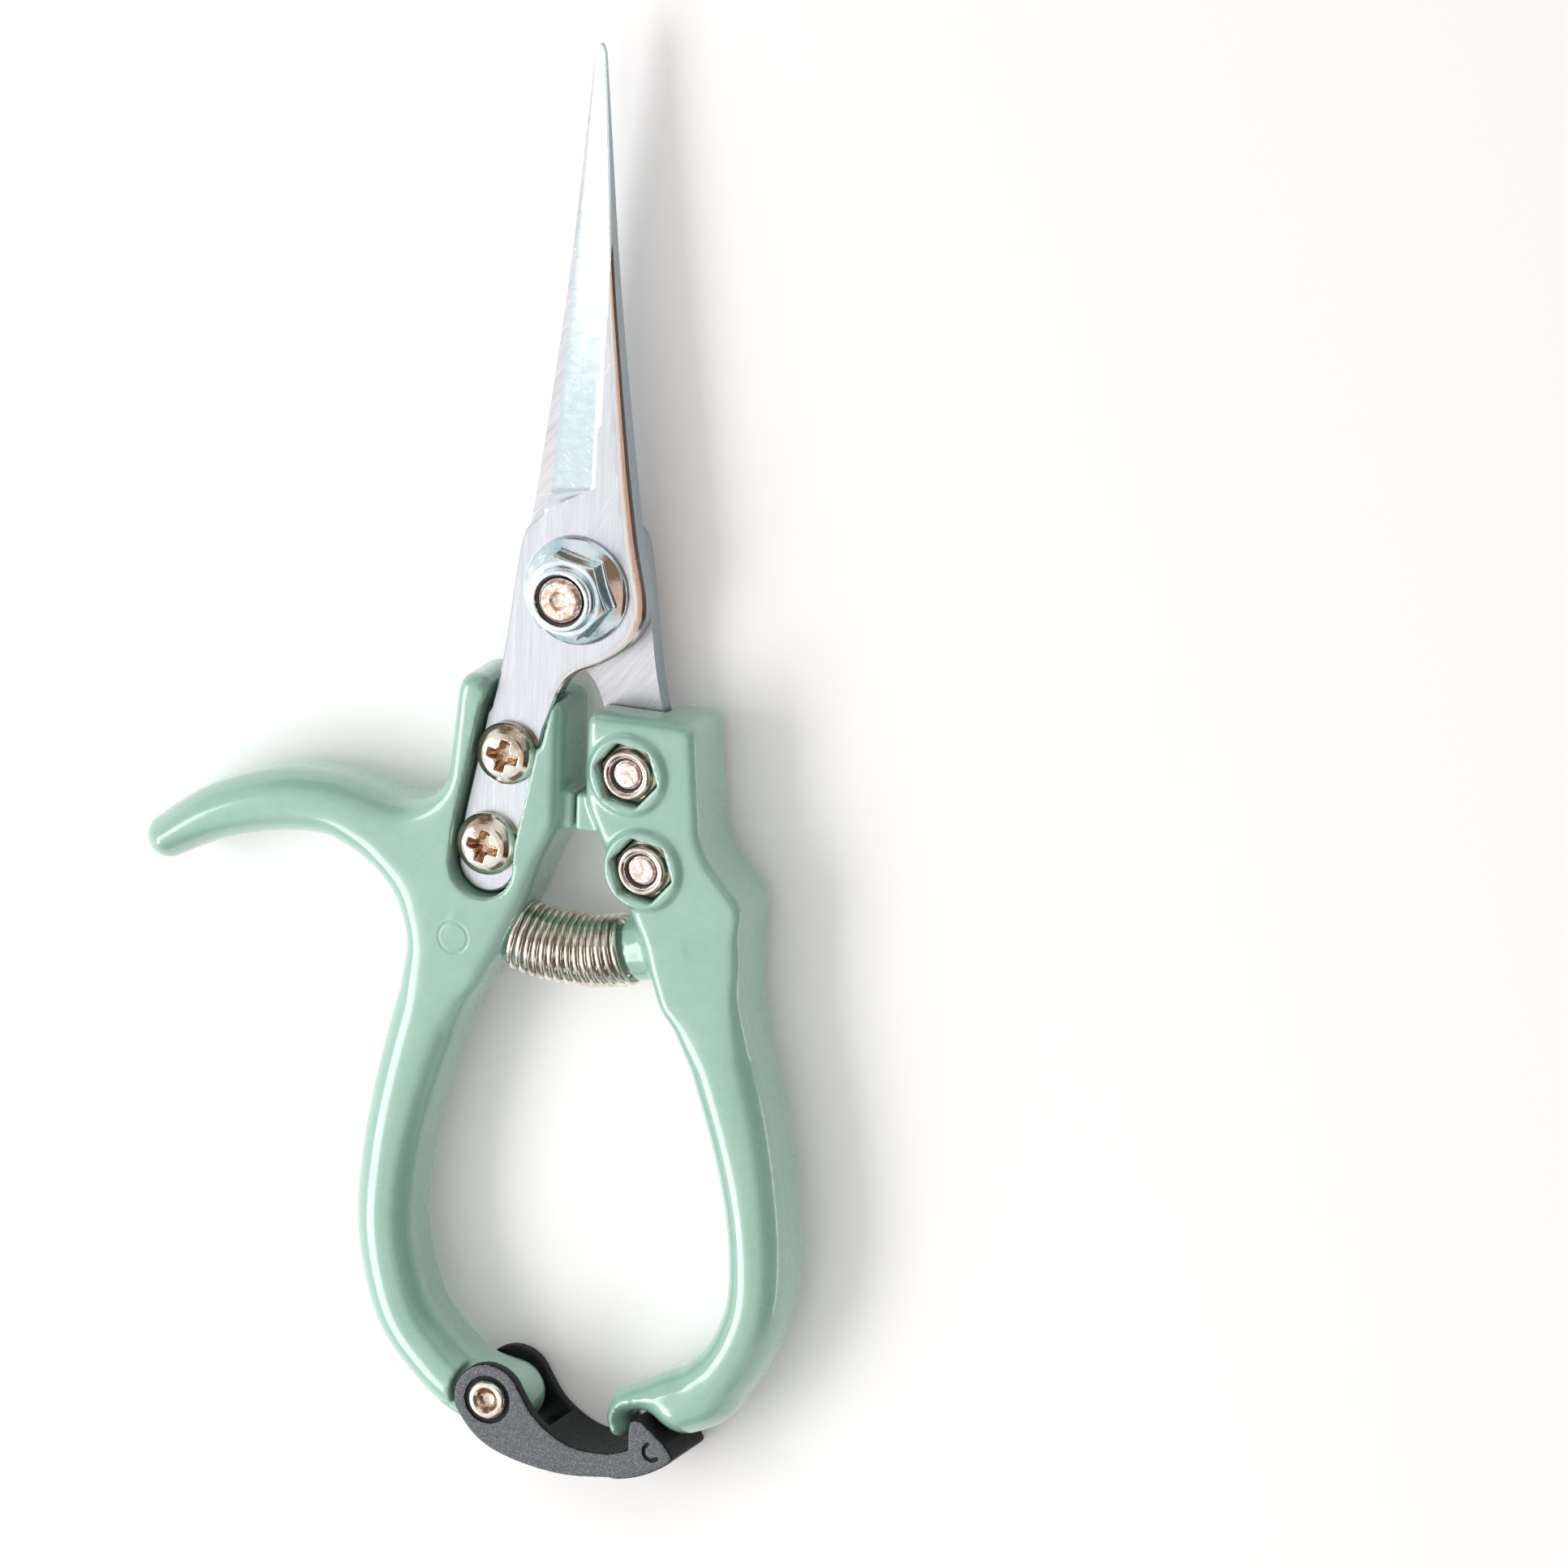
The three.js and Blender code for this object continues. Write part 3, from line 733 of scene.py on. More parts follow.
@dataclass(frozen=True)
class PlatedSteel:
    """Bright plating over turned or drawn steel, coloured in patches: on the nickel finishes the
    brown patches are painted reflections, on the zinc the blue is the plating's own tint.

    Attributes:
        name: the material's name.
        bright: colour of the plating.
        tint: colour of the patches, a painted brown reflection on the nickel finishes.
        patches: patches per metre.
        share: how strongly they tint it.
        rough: least and greatest roughness.
    """

    name: str
    bright: Colour
    tint: Colour
    patches: float = 260.0
    share: float = 0.55
    rough: tuple[float, float] = (0.10, 0.24)

    def material(self) -> bpy.types.Material:
        """Makes the plating.

        Returns:
            The material.
        """
        tree = Tree(self.name)
        patch = tree.span(tree.grain(self.patches, detail=3.0, rough=0.55), 0.45, 0.66, 0.0, 1.0)
        # Patches of the tint: painted brown reflections on nickel, the plating's own blue on zinc.
        tone = tree.blend(tree.sum("MULTIPLY", patch, self.share), self.bright, self.tint)
        pits = tree.span(tree.grain(3400.0, detail=2.0), 0.66, 0.78, 0.0, 1.0)
        tone = tree.blend(tree.sum("MULTIPLY", pits, 0.5), tone, (0.10, 0.09, 0.08))
        tone = tree.blend(tree.worn_edge(0.56, 0.70), tone, (0.90, 0.89, 0.86))
        normal = tree.raise_by(tree.grain(1900.0, detail=2.0), 0.010)
        normal = tree.raise_by(tree.sum("SUBTRACT", 1.0, pits), 0.008, normal)
        tree.set(Base_Color=tone, Metallic=1.0, Roughness=tree.span(patch, 0, 1, *self.rough),
                 Normal=normal)
        return tree.material


@dataclass(frozen=True)
class CutThread:
    """The end of a cut thread: ridges round the shank, mottled where the plating is thin.

    Attributes:
        name: the material's name.
        bright: colour of the plating.
        tint: colour where it is thin.
        pitch: from ridge to ridge, in millimetres.
    """

    name: str
    bright: Colour
    tint: Colour
    pitch: float

    def material(self) -> bpy.types.Material:
        """Makes the thread.

        Returns:
            The material.
        """
        tree = Tree(self.name)
        wave = tree.add("TexWave", wave_type="BANDS", bands_direction="Z")
        tree.links.new(tree.add("TexCoord").outputs["Object"], wave.inputs["Vector"])
        wave.inputs["Scale"].default_value = 0.31 / (self.pitch * MM)
        patch = tree.span(tree.grain(1500.0, detail=4.0), 0.42, 0.58, 0.0, 1.0)
        tone = tree.blend(patch, self.bright, self.tint)
        normal = tree.raise_by(wave.outputs["Fac"], 0.16)
        normal = tree.raise_by(tree.grain(2600.0), 0.05, normal)
        tree.set(Base_Color=tone, Metallic=0.9, Roughness=tree.span(patch, 0, 1, 0.22, 0.45),
                 Normal=normal)
        return tree.material


@dataclass(frozen=True)
class ShearedSteel:
    """The torn face that a press leaves round a blanked plate: dark, speckled, upright lines.

    Attributes:
        name: the material's name.
    """

    name: str = "sheared_steel_edge"

    def material(self) -> bpy.types.Material:
        """Makes the sheared steel.

        Returns:
            The material.
        """
        tree = Tree(self.name)
        lines = tree.grain(1.0, (3000.0, 3000.0, 260.0), detail=3.0)
        spots = tree.span(tree.grain(1700.0, detail=2.0), 0.45, 0.62, 0.0, 1.0)
        tone = tree.blend(spots, (0.62, 0.65, 0.68), (0.20, 0.21, 0.23))
        tree.set(Base_Color=tone, Metallic=0.95, Roughness=tree.span(lines, 0.3, 0.7, 0.32, 0.55),
                 Normal=tree.raise_by(lines, 0.03))
        return tree.material


@dataclass(frozen=True)
class GrainedPlastic:
    """Black plastic moulded against a spark-grained steel face, the tops of its grain painted
    lighter as highlights.

    Attributes:
        name: the material's name.
        body: colour of the plastic.
        painted_glint: colour of the tops of its grain, painted lighter as a highlight.
        depth: depth of the grain, in millimetres.
        rough: its middle roughness.
        gloss: how strongly it mirrors.
    """

    name: str
    body: Colour
    painted_glint: Colour
    depth: float
    rough: float
    gloss: float = 0.5

    def material(self) -> bpy.types.Material:
        """Makes the plastic.

        Returns:
            The material.
        """
        tree = Tree(self.name)
        fine = tree.grain(3800.0, detail=3.0, rough=0.75)
        coarse = tree.grain(1800.0, detail=2.0)
        both = tree.sum(
            "ADD", tree.sum("MULTIPLY", fine, 0.85), tree.sum("MULTIPLY", coarse, 0.15))
        # The tops of the grain are painted lighter: painted highlights.
        tone = tree.blend(tree.span(both, 0.46, 0.66, 0.0, 1.0), self.body, self.painted_glint)
        rough = tree.span(coarse, 0.3, 0.7, self.rough - 0.08, self.rough + 0.10)
        tree.set(Base_Color=tone, Roughness=rough, Specular_IOR_Level=self.gloss,
                 Normal=tree.raise_by(both, self.depth))
        return tree.material


@dataclass(frozen=True)
class Nylon:
    """The dark, slightly waxy locking ring of a nut.

    Attributes:
        name: the material's name.
        body: colour of the nylon.
    """

    name: str = "locking_nylon"
    body: Colour = (0.045, 0.050, 0.055)

    def material(self) -> bpy.types.Material:
        """Makes the nylon.

        Returns:
            The material.
        """
        tree = Tree(self.name)
        mottle = tree.grain(900.0, detail=3.0)
        tone = tree.blend(mottle, self.body, (0.11, 0.12, 0.12))
        tree.set(Base_Color=tone, Roughness=tree.span(mottle, 0.3, 0.7, 0.28, 0.46),
                 Subsurface_Weight=0.05, Normal=tree.raise_by(mottle, 0.03))
        return tree.material


MINT_PAINT = GlossPaint()
FRONT_STEEL = BrushedSteel(
    "brushed_steel_front", (0.64, 0.66, 0.69), (0.53, 0.55, 0.58), Lay.LENGTHWISE, (0.22, 0.27),
    0.004)
GROUND_STEEL = BrushedSteel(
    "ground_steel", (0.72, 0.80, 0.82), (0.58, 0.68, 0.71), Lay.ACROSS, (0.13, 0.19), 0.005)
REAR_STEEL = BrushedSteel(
    "brushed_steel_rear", (0.54, 0.54, 0.56), (0.39, 0.38, 0.40), Lay.DIAGONAL, (0.28, 0.42),
    0.009)
FLANK_STEEL = BrushedSteel(
    "polished_flank_steel", (0.46, 0.53, 0.57), (0.38, 0.44, 0.48), Lay.LENGTHWISE, (0.22, 0.32))
CORNER_STEEL = BrushedSteel(
    "rolled_corner_steel", (0.84, 0.78, 0.75), (0.70, 0.62, 0.58), Lay.LENGTHWISE, (0.10, 0.18),
    0.004)
SHEARED_STEEL = ShearedSteel()
# The brown tint patches of the nickel finishes below are painted reflections of brown
# surroundings.
NICKEL = PlatedSteel(
    "bright_nickel", (0.90, 0.85, 0.76), (0.38, 0.26, 0.15), 240.0, 0.75, (0.05, 0.12))
WARM_NICKEL = PlatedSteel(
    "warm_nickel", (0.86, 0.76, 0.68), (0.40, 0.23, 0.15), 320.0, 0.70, (0.08, 0.18))
# Darker, browner nickel for the cross recesses and rivet dishes: painted shade and painted brown
# reflection in those hollows.
RECESS_SHADE_NICKEL = PlatedSteel(
    "recess_shade_nickel", (0.78, 0.62, 0.48), (0.26, 0.12, 0.06), 700.0, 0.85, (0.14, 0.30))
SPRING_NICKEL = PlatedSteel(
    "drawn_nickel_wire", (0.86, 0.81, 0.73), (0.36, 0.26, 0.18), 420.0, 0.65, (0.08, 0.17))
ZINC = PlatedSteel(
    "bright_zinc", (0.86, 0.93, 0.95), (0.38, 0.60, 0.66), 200.0, 0.75, (0.08, 0.18))
SCREW_THREAD = CutThread("screw_thread_end", (0.94, 0.84, 0.80), (0.60, 0.40, 0.33), 0.7)
PIVOT_THREAD = CutThread("pivot_thread_end", (0.97, 0.92, 0.88), (0.62, 0.38, 0.26), 1.0)
# The grained faces are painted much lighter than the moulded sides as a painted sheen, and their
# grain tops as painted highlights; the grain itself is real.
LATCH_FACE = GrainedPlastic(
    "grained_black_face_painted_sheen", (0.070, 0.080, 0.087), (0.24, 0.265, 0.28), 0.05, 0.42)
LATCH_SIDE = GrainedPlastic(
    "moulded_black_side", (0.012, 0.014, 0.015), (0.026, 0.029, 0.031), 0.008, 0.44, 0.15)
NYLON = Nylon()


# ------------------------------------------------------------------ bench
@dataclass
class Bench:
    """Puts finished skins into the frame, on the bodies that carry them.

    Attributes:
        record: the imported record.
        fine: multiplies every face size; 1 is full quality.
        materials: the materials made so far, by name.
    """

    record: dict
    fine: float = 1.0
    materials: dict[str, bpy.types.Material] = field(default_factory=dict)

    def __post_init__(self) -> None:
        """Reads what each node rides on and is finished in."""
        behaviour = self.record["behaviour"]
        self.joints = {joint["name"]: joint for joint in behaviour["joints"]}
        self.body_of = {
            node: body for body, nodes in behaviour["bodies"].items() for node in nodes}
        self.slot_of = {part["node"]: part["material_slot"] for part in self.record["subparts"]}
        self.lift = self.joints["blade_pivot"]["pos_m"][2] / MM

    def hinge(self, name: str) -> Point:
        """Returns where a hinge's axis stands, in millimetres."""
        x, y, _ = self.joints[name]["pos_m"]
        return x / MM, y / MM

    def middle(self, node: str) -> Point:
        """Returns the middle of a node's box in plan, in millimetres."""
        low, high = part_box(node)
        return (low[0] + high[0]) / 2 / MM, (low[1] + high[1]) / 2 / MM

    def heights(self, node: str) -> Point:
        """Returns a node's lowest and highest z about the mid plane, in millimetres."""
        low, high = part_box(node)
        return low[2] / MM - self.lift, high[2] / MM - self.lift

    def finish(self, finish: object) -> bpy.types.Material:
        """Makes a finish once and keeps it.

        Args:
            finish: the finish.

        Returns:
            Its material.
        """
        if finish.name not in self.materials:
            self.materials[finish.name] = finish.material()
        return self.materials[finish.name]

    def lay(
        self, node: str, skin: Skin, *finishes: object, sharp: float = 40.0
    ) -> bpy.types.Object:
        """Puts a skin in a node's place.

        Args:
            node: the node it stands for.
            skin: its shape about the mid plane, in millimetres.
            *finishes: its finishes, in the order of its zones.
            sharp: faces that meet at more than this, in degrees, keep a crisp edge.

        Returns:
            The piece.
        """
        mesh = bpy.data.meshes.new(f"{node}_piece")
        places = (skin.corners + np.array([0.0, 0.0, self.lift])) * MM
        mesh.from_pydata(places.tolist(), [], skin.faces)
        for finish in finishes:
            mesh.materials.append(self.finish(finish))
        mesh.polygons.foreach_set("material_index", skin.zones.astype(np.int32))
        mesh.polygons.foreach_set("use_smooth", np.ones(len(skin.faces), bool))
        mesh.set_sharp_from_angle(angle=math.radians(sharp))
        mesh.update()
        piece = bpy.data.objects.new(f"{node}_piece", mesh)
        bpy.context.scene.collection.objects.link(piece)
        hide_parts(node)
        if node != "return_spring":
            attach(piece, self.body_of[node])
        LOG.info("%s: %d faces", piece.name, len(skin.faces))
        return piece


# ------------------------------------------------------------------ sub-assemblies
@dataclass
class TangSeat:
    """The blade tang and its two screws, as both castings and both blades share them.

    Attributes:
        half_width: half the tang's width.
        stations: middle of the tang.
        holes: the two screws.
    """

    half_width: float = 3.95
    stations: tuple[Point, ...] = ((-7.9, -18.0), (-8.8, -22.6), (-10.9, -32.9), (-11.3, -37.5))
    holes: tuple[Point, ...] = ((-8.7, -22.6), (-11.1, -34.9))

    def wide(self) -> list[Station]:
        """Returns the tang's stations with its half width."""
        return [(x, y, self.half_width) for x, y in self.stations]


class BladeZone(IntEnum):
    """The differently finished parts of a blade."""

    FACE = 0
    GRIND = 1
    TORN_FLANK = 2
    BACK = 3
    FLANK = 4
    CORNER = 5


BLADE_STEELS = {
    BladeZone.FACE: FRONT_STEEL, BladeZone.GRIND: GROUND_STEEL,
    BladeZone.TORN_FLANK: SHEARED_STEEL, BladeZone.BACK: REAR_STEEL,
    BladeZone.FLANK: FLANK_STEEL, BladeZone.CORNER: CORNER_STEEL}


@dataclass
class Blade:
    """A long pointed blade with a tang, ground hollow on its outer face.

    Attributes:
        reach: pivot to tip.
        shoulder: where the edge starts above the pivot.
        stock: plate thickness.
        gap: running gap between the blades.
        tip_stock: thickness left at the tip.
        edge_stock: thickness left along the edge.
        chamfer: width of the broken corner round the face.
        bore: radius of the pivot hole.
        screw_bore: radius of the screw holes.
        grind_x: where the hollow grind stops across the blade, at its foot.
        grind_slope: how far that moves right, for each millimetre towards the tip.
        grind_y: lowest and highest point of that line.
        run_out_at: one point of the line at which the wheel left the blade.
        run_out_slope: slope of that line.
        torn_y: lowest and highest point of the flank that the press tore.
        torn_x: where it starts across the blade.
        roll_foot: lowest point of the rolled corner.
        tang: the tang's shape.
    """

    reach: float = 71.2
    shoulder: float = 9.4
    stock: float = 3.0
    gap: float = 0.1
    tip_stock: float = 1.1
    edge_stock: float = 0.4
    chamfer: float = 0.28
    bore: float = 3.04
    screw_bore: float = 2.2
    grind_x: float = 1.7
    grind_slope: float = 0.04
    grind_y: Point = (13.5, 45.5)
    run_out_at: Point = (-5.8, 9.4)
    run_out_slope: float = 0.547
    torn_y: Point = (-17.0, -5.5)
    torn_x: float = -4.5
    roll_foot: float = -16.0
    tang: TangSeat = field(default_factory=TangSeat)

    def at(self, part: float) -> float:
        """Returns the height of a share of the edge."""
        return self.shoulder + (self.reach - self.shoulder) * part

    def edge_points(self) -> np.ndarray:
        """Draws the left outline.

        Returns:
            Its points, from the tang up to the tip.
        """
        low = curve([(-11.4, -17.0), (-9.9, -10.0), (-8.8, -1.5), (-8.0, self.shoulder - 5.0),
                     (-7.3, self.shoulder - 2.3)], 6)
        high = curve([(-5.1, self.shoulder), (-4.0, self.at(0.25)), (-2.6, self.at(0.54)),
                      (-0.75, self.at(0.93)), (-0.5, self.reach - 0.9), (0.0, self.reach)], 24)
        return np.vstack([low, high])

    def spine_points(self) -> np.ndarray:
        """Draws the right outline.

        Returns:
            Its points, from the tip down to the tang.
        """
        return curve([
            (0.0, self.reach), (0.6, self.reach - 0.7), (1.05, self.at(0.94)),
            (3.3, self.at(0.54)), (5.4, self.at(0.25)),
            (7.7, self.shoulder - 1.4), (9.3, -0.4), (8.8, -3.9), (6.9, -6.9), (3.6, -9.3),
            (0.2, -11.0), (-1.9, -13.2), (-3.3, -17.0)], 12)

    def tang_points(self) -> np.ndarray:
        """Draws the tang's outline.

        Returns:
            Its points, down the right side, round the end and up the left.
        """
        middle = curve(self.tang.stations, 6)[1:]
        ahead = np.gradient(middle, axis=0)
        out = np.stack([-ahead[:, 1], ahead[:, 0]], axis=1)
        out /= np.linalg.norm(out, axis=1, keepdims=True)
        right, left = middle + out * self.tang.half_width, middle - out * self.tang.half_width
        start = math.atan2(*out[-1][::-1])
        turns = start - np.linspace(0, math.pi, 17)[1:-1]
        end = middle[-1] + self.tang.half_width * np.stack([np.cos(turns), np.sin(turns)], axis=1)
        return np.vstack([right, end, left[::-1]])

    def outline(self) -> np.ndarray:
        """Returns the whole outline, clockwise from the tip."""
        return np.vstack([self.spine_points()[:-1], self.tang_points(), self.edge_points()[:-1]])

    def facet_line(self, y: np.ndarray) -> np.ndarray:
        """Returns where the hollow grind stops across the blade, at height y."""
        return self.grind_x + self.grind_slope * (y - self.grind_y[0])

    def run_out(self, x: np.ndarray) -> np.ndarray:
        """Returns the height at which the wheel left the blade, across it."""
        return self.run_out_at[1] + (x - self.run_out_at[0]) * self.run_out_slope

    def scoop(self, x: np.ndarray) -> np.ndarray:
        """Returns how long the wheel's run-out is, longest at the edge."""
        return np.clip(0.3 + (self.grind_x - x) * 0.30, 0.3, 3.0)

    def ground(self, x: np.ndarray, y: np.ndarray) -> np.ndarray:
        """Tells how deep in the hollow grind a point lies.

        Args:
            x: places across the blade.
            y: heights.

        Returns:
            0 outside it, rising to 1 at the edge.
        """
        edge = self.edge_points()
        left = np.interp(y, edge[:, 1], edge[:, 0])
        line = self.facet_line(y)
        across = np.clip((line - x) / np.maximum(line - left, 0.05), 0, 1)
        rise = np.clip((y - self.run_out(x)) / self.scoop(x), 0, 1)
        return across * (1 - (1 - rise) ** 2)

    def roll(self, x: np.ndarray, y: np.ndarray, out: np.ndarray) -> np.ndarray:
        """Returns how near the rolled corner's outer rim a point lies.

        Args:
            x: its place across the blade.
            y: its height.
            out: its signed distance to the blade's outline.

        Returns:
            0 on the flat face, rising to 1 at the rim on the spine's side.
        """
        spine, edge = self.spine_points()[::-1], self.edge_points()
        right = np.interp(y, spine[:, 1], spine[:, 0])
        left = np.interp(y, edge[:, 1], edge[:, 0])
        near = np.clip(1 + out / self.roll_width(y), 0, 1)
        return np.where((x > (left + right) / 2) & (y > self.roll_foot), near, 0.0)

    def roll_width(self, y: np.ndarray) -> np.ndarray:
        """Returns how wide the rolled corner is at height y."""
        heights = [self.roll_foot, -9.0, -3.0, 5.0, 44.0, self.reach]
        return np.interp(y, heights, [0.3, 0.8, 1.5, 1.5, 0.7, 0.3])

    def face_height(self, x: np.ndarray, y: np.ndarray, out: np.ndarray) -> np.ndarray:
        """Finds the outer face's height.

        Args:
            x: places across the blade.
            y: heights.
            out: signed distances to the blade's outline.

        Returns:
            The heights above the mid plane.
        """
        low = self.gap / 2
        tail = np.clip((y - self.shoulder - 8.0) / (self.reach - self.shoulder - 4.0), 0, 1)
        full = low + self.stock - (self.stock - self.tip_stock) * tail
        full = full - 0.36 * self.roll_width(y) * self.roll(x, y, out) ** 1.6
        return full - (full - low - self.edge_stock) * self.ground(x, y)

    def skin(self, step: float) -> Skin:
        """Makes the blade that lies in front.

        Args:
            step: size of its faces, in millimetres.

        Returns:
            A closed skin, its zones those of BladeZone.
        """
        loops = self._loops()
        rims = [self._respaced(loop, 0.6 * step) for loop in loops]
        insets = [self._inset(rim) for rim in rims]
        inside = self._inside(loops[0])
        lines = self._lines(step)
        spots = self._spots(loops[0], inside, lines, step)
        edges, start = [], 0
        for loop in rims + insets:
            n = len(loop)
            edges += [(start + i, start + (i + 1) % n) for i in range(n)]
            start += n
        for line in lines:
            held = inside(line[:, 0], line[:, 1]) < -self.chamfer - 0.02
            edges += [(start + i, start + i + 1) for i in range(len(line) - 1)
                      if held[i] and held[i + 1]]
            start += len(line)
        flat = np.vstack(rims + insets + lines + [spots])
        made = delaunay_2d_cdt([Vector(p) for p in flat], edges, [], 0, 1e-6)
        places, faces = np.array([tuple(p) for p in made[0]]), np.array(made[2])
        middles = places[faces].mean(axis=1)
        faces = faces[inside(middles[:, 0], middles[:, 1]) < 0]
        return self._solid(places, faces, inside)

    def build(self, bench: Bench) -> None:
        """Makes the front blade, and lays it and the same blade turned over.

        Args:
            bench: where they are laid.
        """
        skin = self.skin(0.6 * bench.fine)
        steels = [BLADE_STEELS[zone] for zone in BladeZone]
        bench.lay("front_blade", skin, *steels, sharp=25.0)
        bench.lay("back_blade", skin.turned_over(), *steels, sharp=25.0)

    def _loops(self) -> list[np.ndarray]:
        """Draws the plan.

        Returns:
            The outline, the pivot hole and the two screw holes.
        """
        holes = [(0.0, 0.0, self.bore), *((x, y, self.screw_bore) for x, y in self.tang.holes)]
        turns = np.linspace(0, 2 * math.pi, 33)[:-1]
        return [self.outline()] + [
            np.stack([x + radius * np.cos(turns), y + radius * np.sin(turns)], 1)
            for x, y, radius in holes]

    def _inset(self, loop: np.ndarray) -> np.ndarray:
        """Draws the inner rim of the broken corner.

        Args:
            loop: the outer rim.

        Returns:
            The loop, drawn in by the corner's width.
        """
        ahead = np.roll(loop, -1, axis=0) - np.roll(loop, 1, axis=0)
        inward = np.stack([ahead[:, 1], -ahead[:, 0]], axis=1)
        inward /= np.maximum(np.linalg.norm(inward, axis=1, keepdims=True), 1e-9)
        return loop + inward * self.chamfer

    def _lines(self, step: float) -> list[np.ndarray]:
        """Draws the lines that the faces keep to.

        Args:
            step: size of a face, in millimetres.

        Returns:
            The edge of the hollow grind, its run-out and the rolled corner, as rows of points.
        """
        foot, top = self.grind_y
        rows = np.append(np.arange(foot, top, 0.6 * step), top)
        lines = [np.stack([self.facet_line(rows), rows], axis=1)]
        for part in (0.0, 0.25, 0.5, 0.75, 1.0):
            xs = np.linspace(-5.5, self.grind_x, 16)
            lines.append(np.stack([xs, self.run_out(xs) + part * self.scoop(xs)], axis=1))
        spine = self._respaced(self.spine_points(), 0.6 * step, closed=False)
        ahead = np.gradient(spine, axis=0)
        inward = np.stack([ahead[:, 1], -ahead[:, 0]], axis=1)
        inward /= np.linalg.norm(inward, axis=1, keepdims=True)
        for part in (0.35, 0.7, 1.0):
            wide = np.maximum(self.roll_width(spine[:, 1]) * part, self.chamfer + 0.04)
            line = spine + inward * wide[:, None]
            lines.append(line[(spine[:, 1] > -14.0) & (spine[:, 1] < self.reach - 6.0)])
        return lines

    def _spots(
        self, outline: np.ndarray, inside: Plan, lines: list[np.ndarray], step: float,
    ) -> np.ndarray:
        """Spreads even points over the face.

        Args:
            outline: the blade's outline.
            inside: signed distance to the plan.
            lines: lines that the points keep clear of.
            step: from point to point, in millimetres.

        Returns:
            The points.
        """
        low, high = outline.min(axis=0), outline.max(axis=0)
        xs, ys = np.meshgrid(
            np.arange(low[0], high[0], step), np.arange(low[1], high[1], step))
        spots = np.stack([xs.ravel(), ys.ravel()], axis=1)
        spots = spots[inside(spots[:, 0], spots[:, 1]) < -0.55 * step - self.chamfer]
        kept = np.ones(len(spots), bool)
        for line in lines:
            apart = np.linalg.norm(spots[:, None] - line[None], axis=2).min(axis=1)
            kept &= apart > 0.28 * step
        return spots[kept]

    def _respaced(self, loop: np.ndarray, step: float, closed: bool = True) -> np.ndarray:
        """Spreads the points of a line evenly.

        Args:
            loop: the line.
            step: about how far apart they come to lie.
            closed: whether it runs back to its start.

        Returns:
            The line with its new points.
        """
        whole = np.vstack([loop, loop[:1]]) if closed else loop
        length = np.concatenate([[0], np.cumsum(np.linalg.norm(np.diff(whole, axis=0), axis=1))])
        count = max(12, round(length[-1] / step))
        spots = np.linspace(0, length[-1], count + 1)
        line = np.stack([np.interp(spots, length, whole[:, k]) for k in (0, 1)], axis=1)
        return line[:-1] if closed else line

    def _inside(self, outline: np.ndarray) -> Plan:
        """Gives the signed distance to the plate, with its holes left out.

        Args:
            outline: the plate's outline.

        Returns:
            A function of x and y.
        """
        outer = around(outline)
        holes = [disc(0.0, 0.0, self.bore)] + [
            disc(x, y, self.screw_bore) for x, y in self.tang.holes]

        def distance(x: np.ndarray, y: np.ndarray) -> np.ndarray:
            """Measures to the plate.

            Args:
                x: places across the tool.
                y: places along it.

            Returns:
                The signed distances.
            """
            out = outer(x, y)
            for hole in holes:
                out = np.maximum(out, -hole(x, y))
            return out

        return distance

    def _solid(self, flat: np.ndarray, faces: np.ndarray, inside: Plan) -> Skin:
        """Raises the plan into a plate.

        Args:
            flat: plan corners.
            faces: plan triangles, anticlockwise.
            inside: signed distance to the plan.

        Returns:
            The closed plate.
        """
        out = inside(flat[:, 0], flat[:, 1])
        top = self.face_height(flat[:, 0], flat[:, 1], out)
        rolled = self.roll(flat[:, 0], flat[:, 1], out)
        drop = np.clip(1 + out / self.chamfer, 0, 1) * self.chamfer * (1 - 0.55 * rolled)
        thin = np.clip((top - self.gap / 2) / self.stock, 0.1, 1)
        top = top - drop * thin
        count = len(flat)
        corners = np.vstack([
            np.column_stack([flat, top]), np.column_stack([flat, np.full(count, self.gap / 2)])])
        sides = {}
        for a, b, c in faces:
            for p, q in ((a, b), (b, c), (c, a)):
                if (q, p) in sides:
                    del sides[(q, p)]
                else:
                    sides[(p, q)] = True
        walls = [[p + count, q + count, q, p] for p, q in sides]
        middles = flat[faces].mean(axis=1)
        x, y = middles[:, 0], middles[:, 1]
        hollow = self.ground(x, y) > 0.0
        rolled = self.roll(x, y, inside(x, y)) > 0.02
        spots = np.array([flat[[p, q]].mean(axis=0) for p, q in sides])
        low, high = self.torn_y
        torn = (spots[:, 1] < high) & (spots[:, 1] > low) & (spots[:, 0] > self.torn_x)
        zones = np.concatenate([
            np.where(hollow, BladeZone.GRIND, np.where(rolled, BladeZone.CORNER, BladeZone.FACE)),
            np.full(len(faces), BladeZone.BACK),
            np.where(torn, BladeZone.TORN_FLANK, BladeZone.FLANK)])
        under = (faces[:, ::-1] + count).tolist()
        return Skin(corners, faces.tolist() + under + walls, zones)


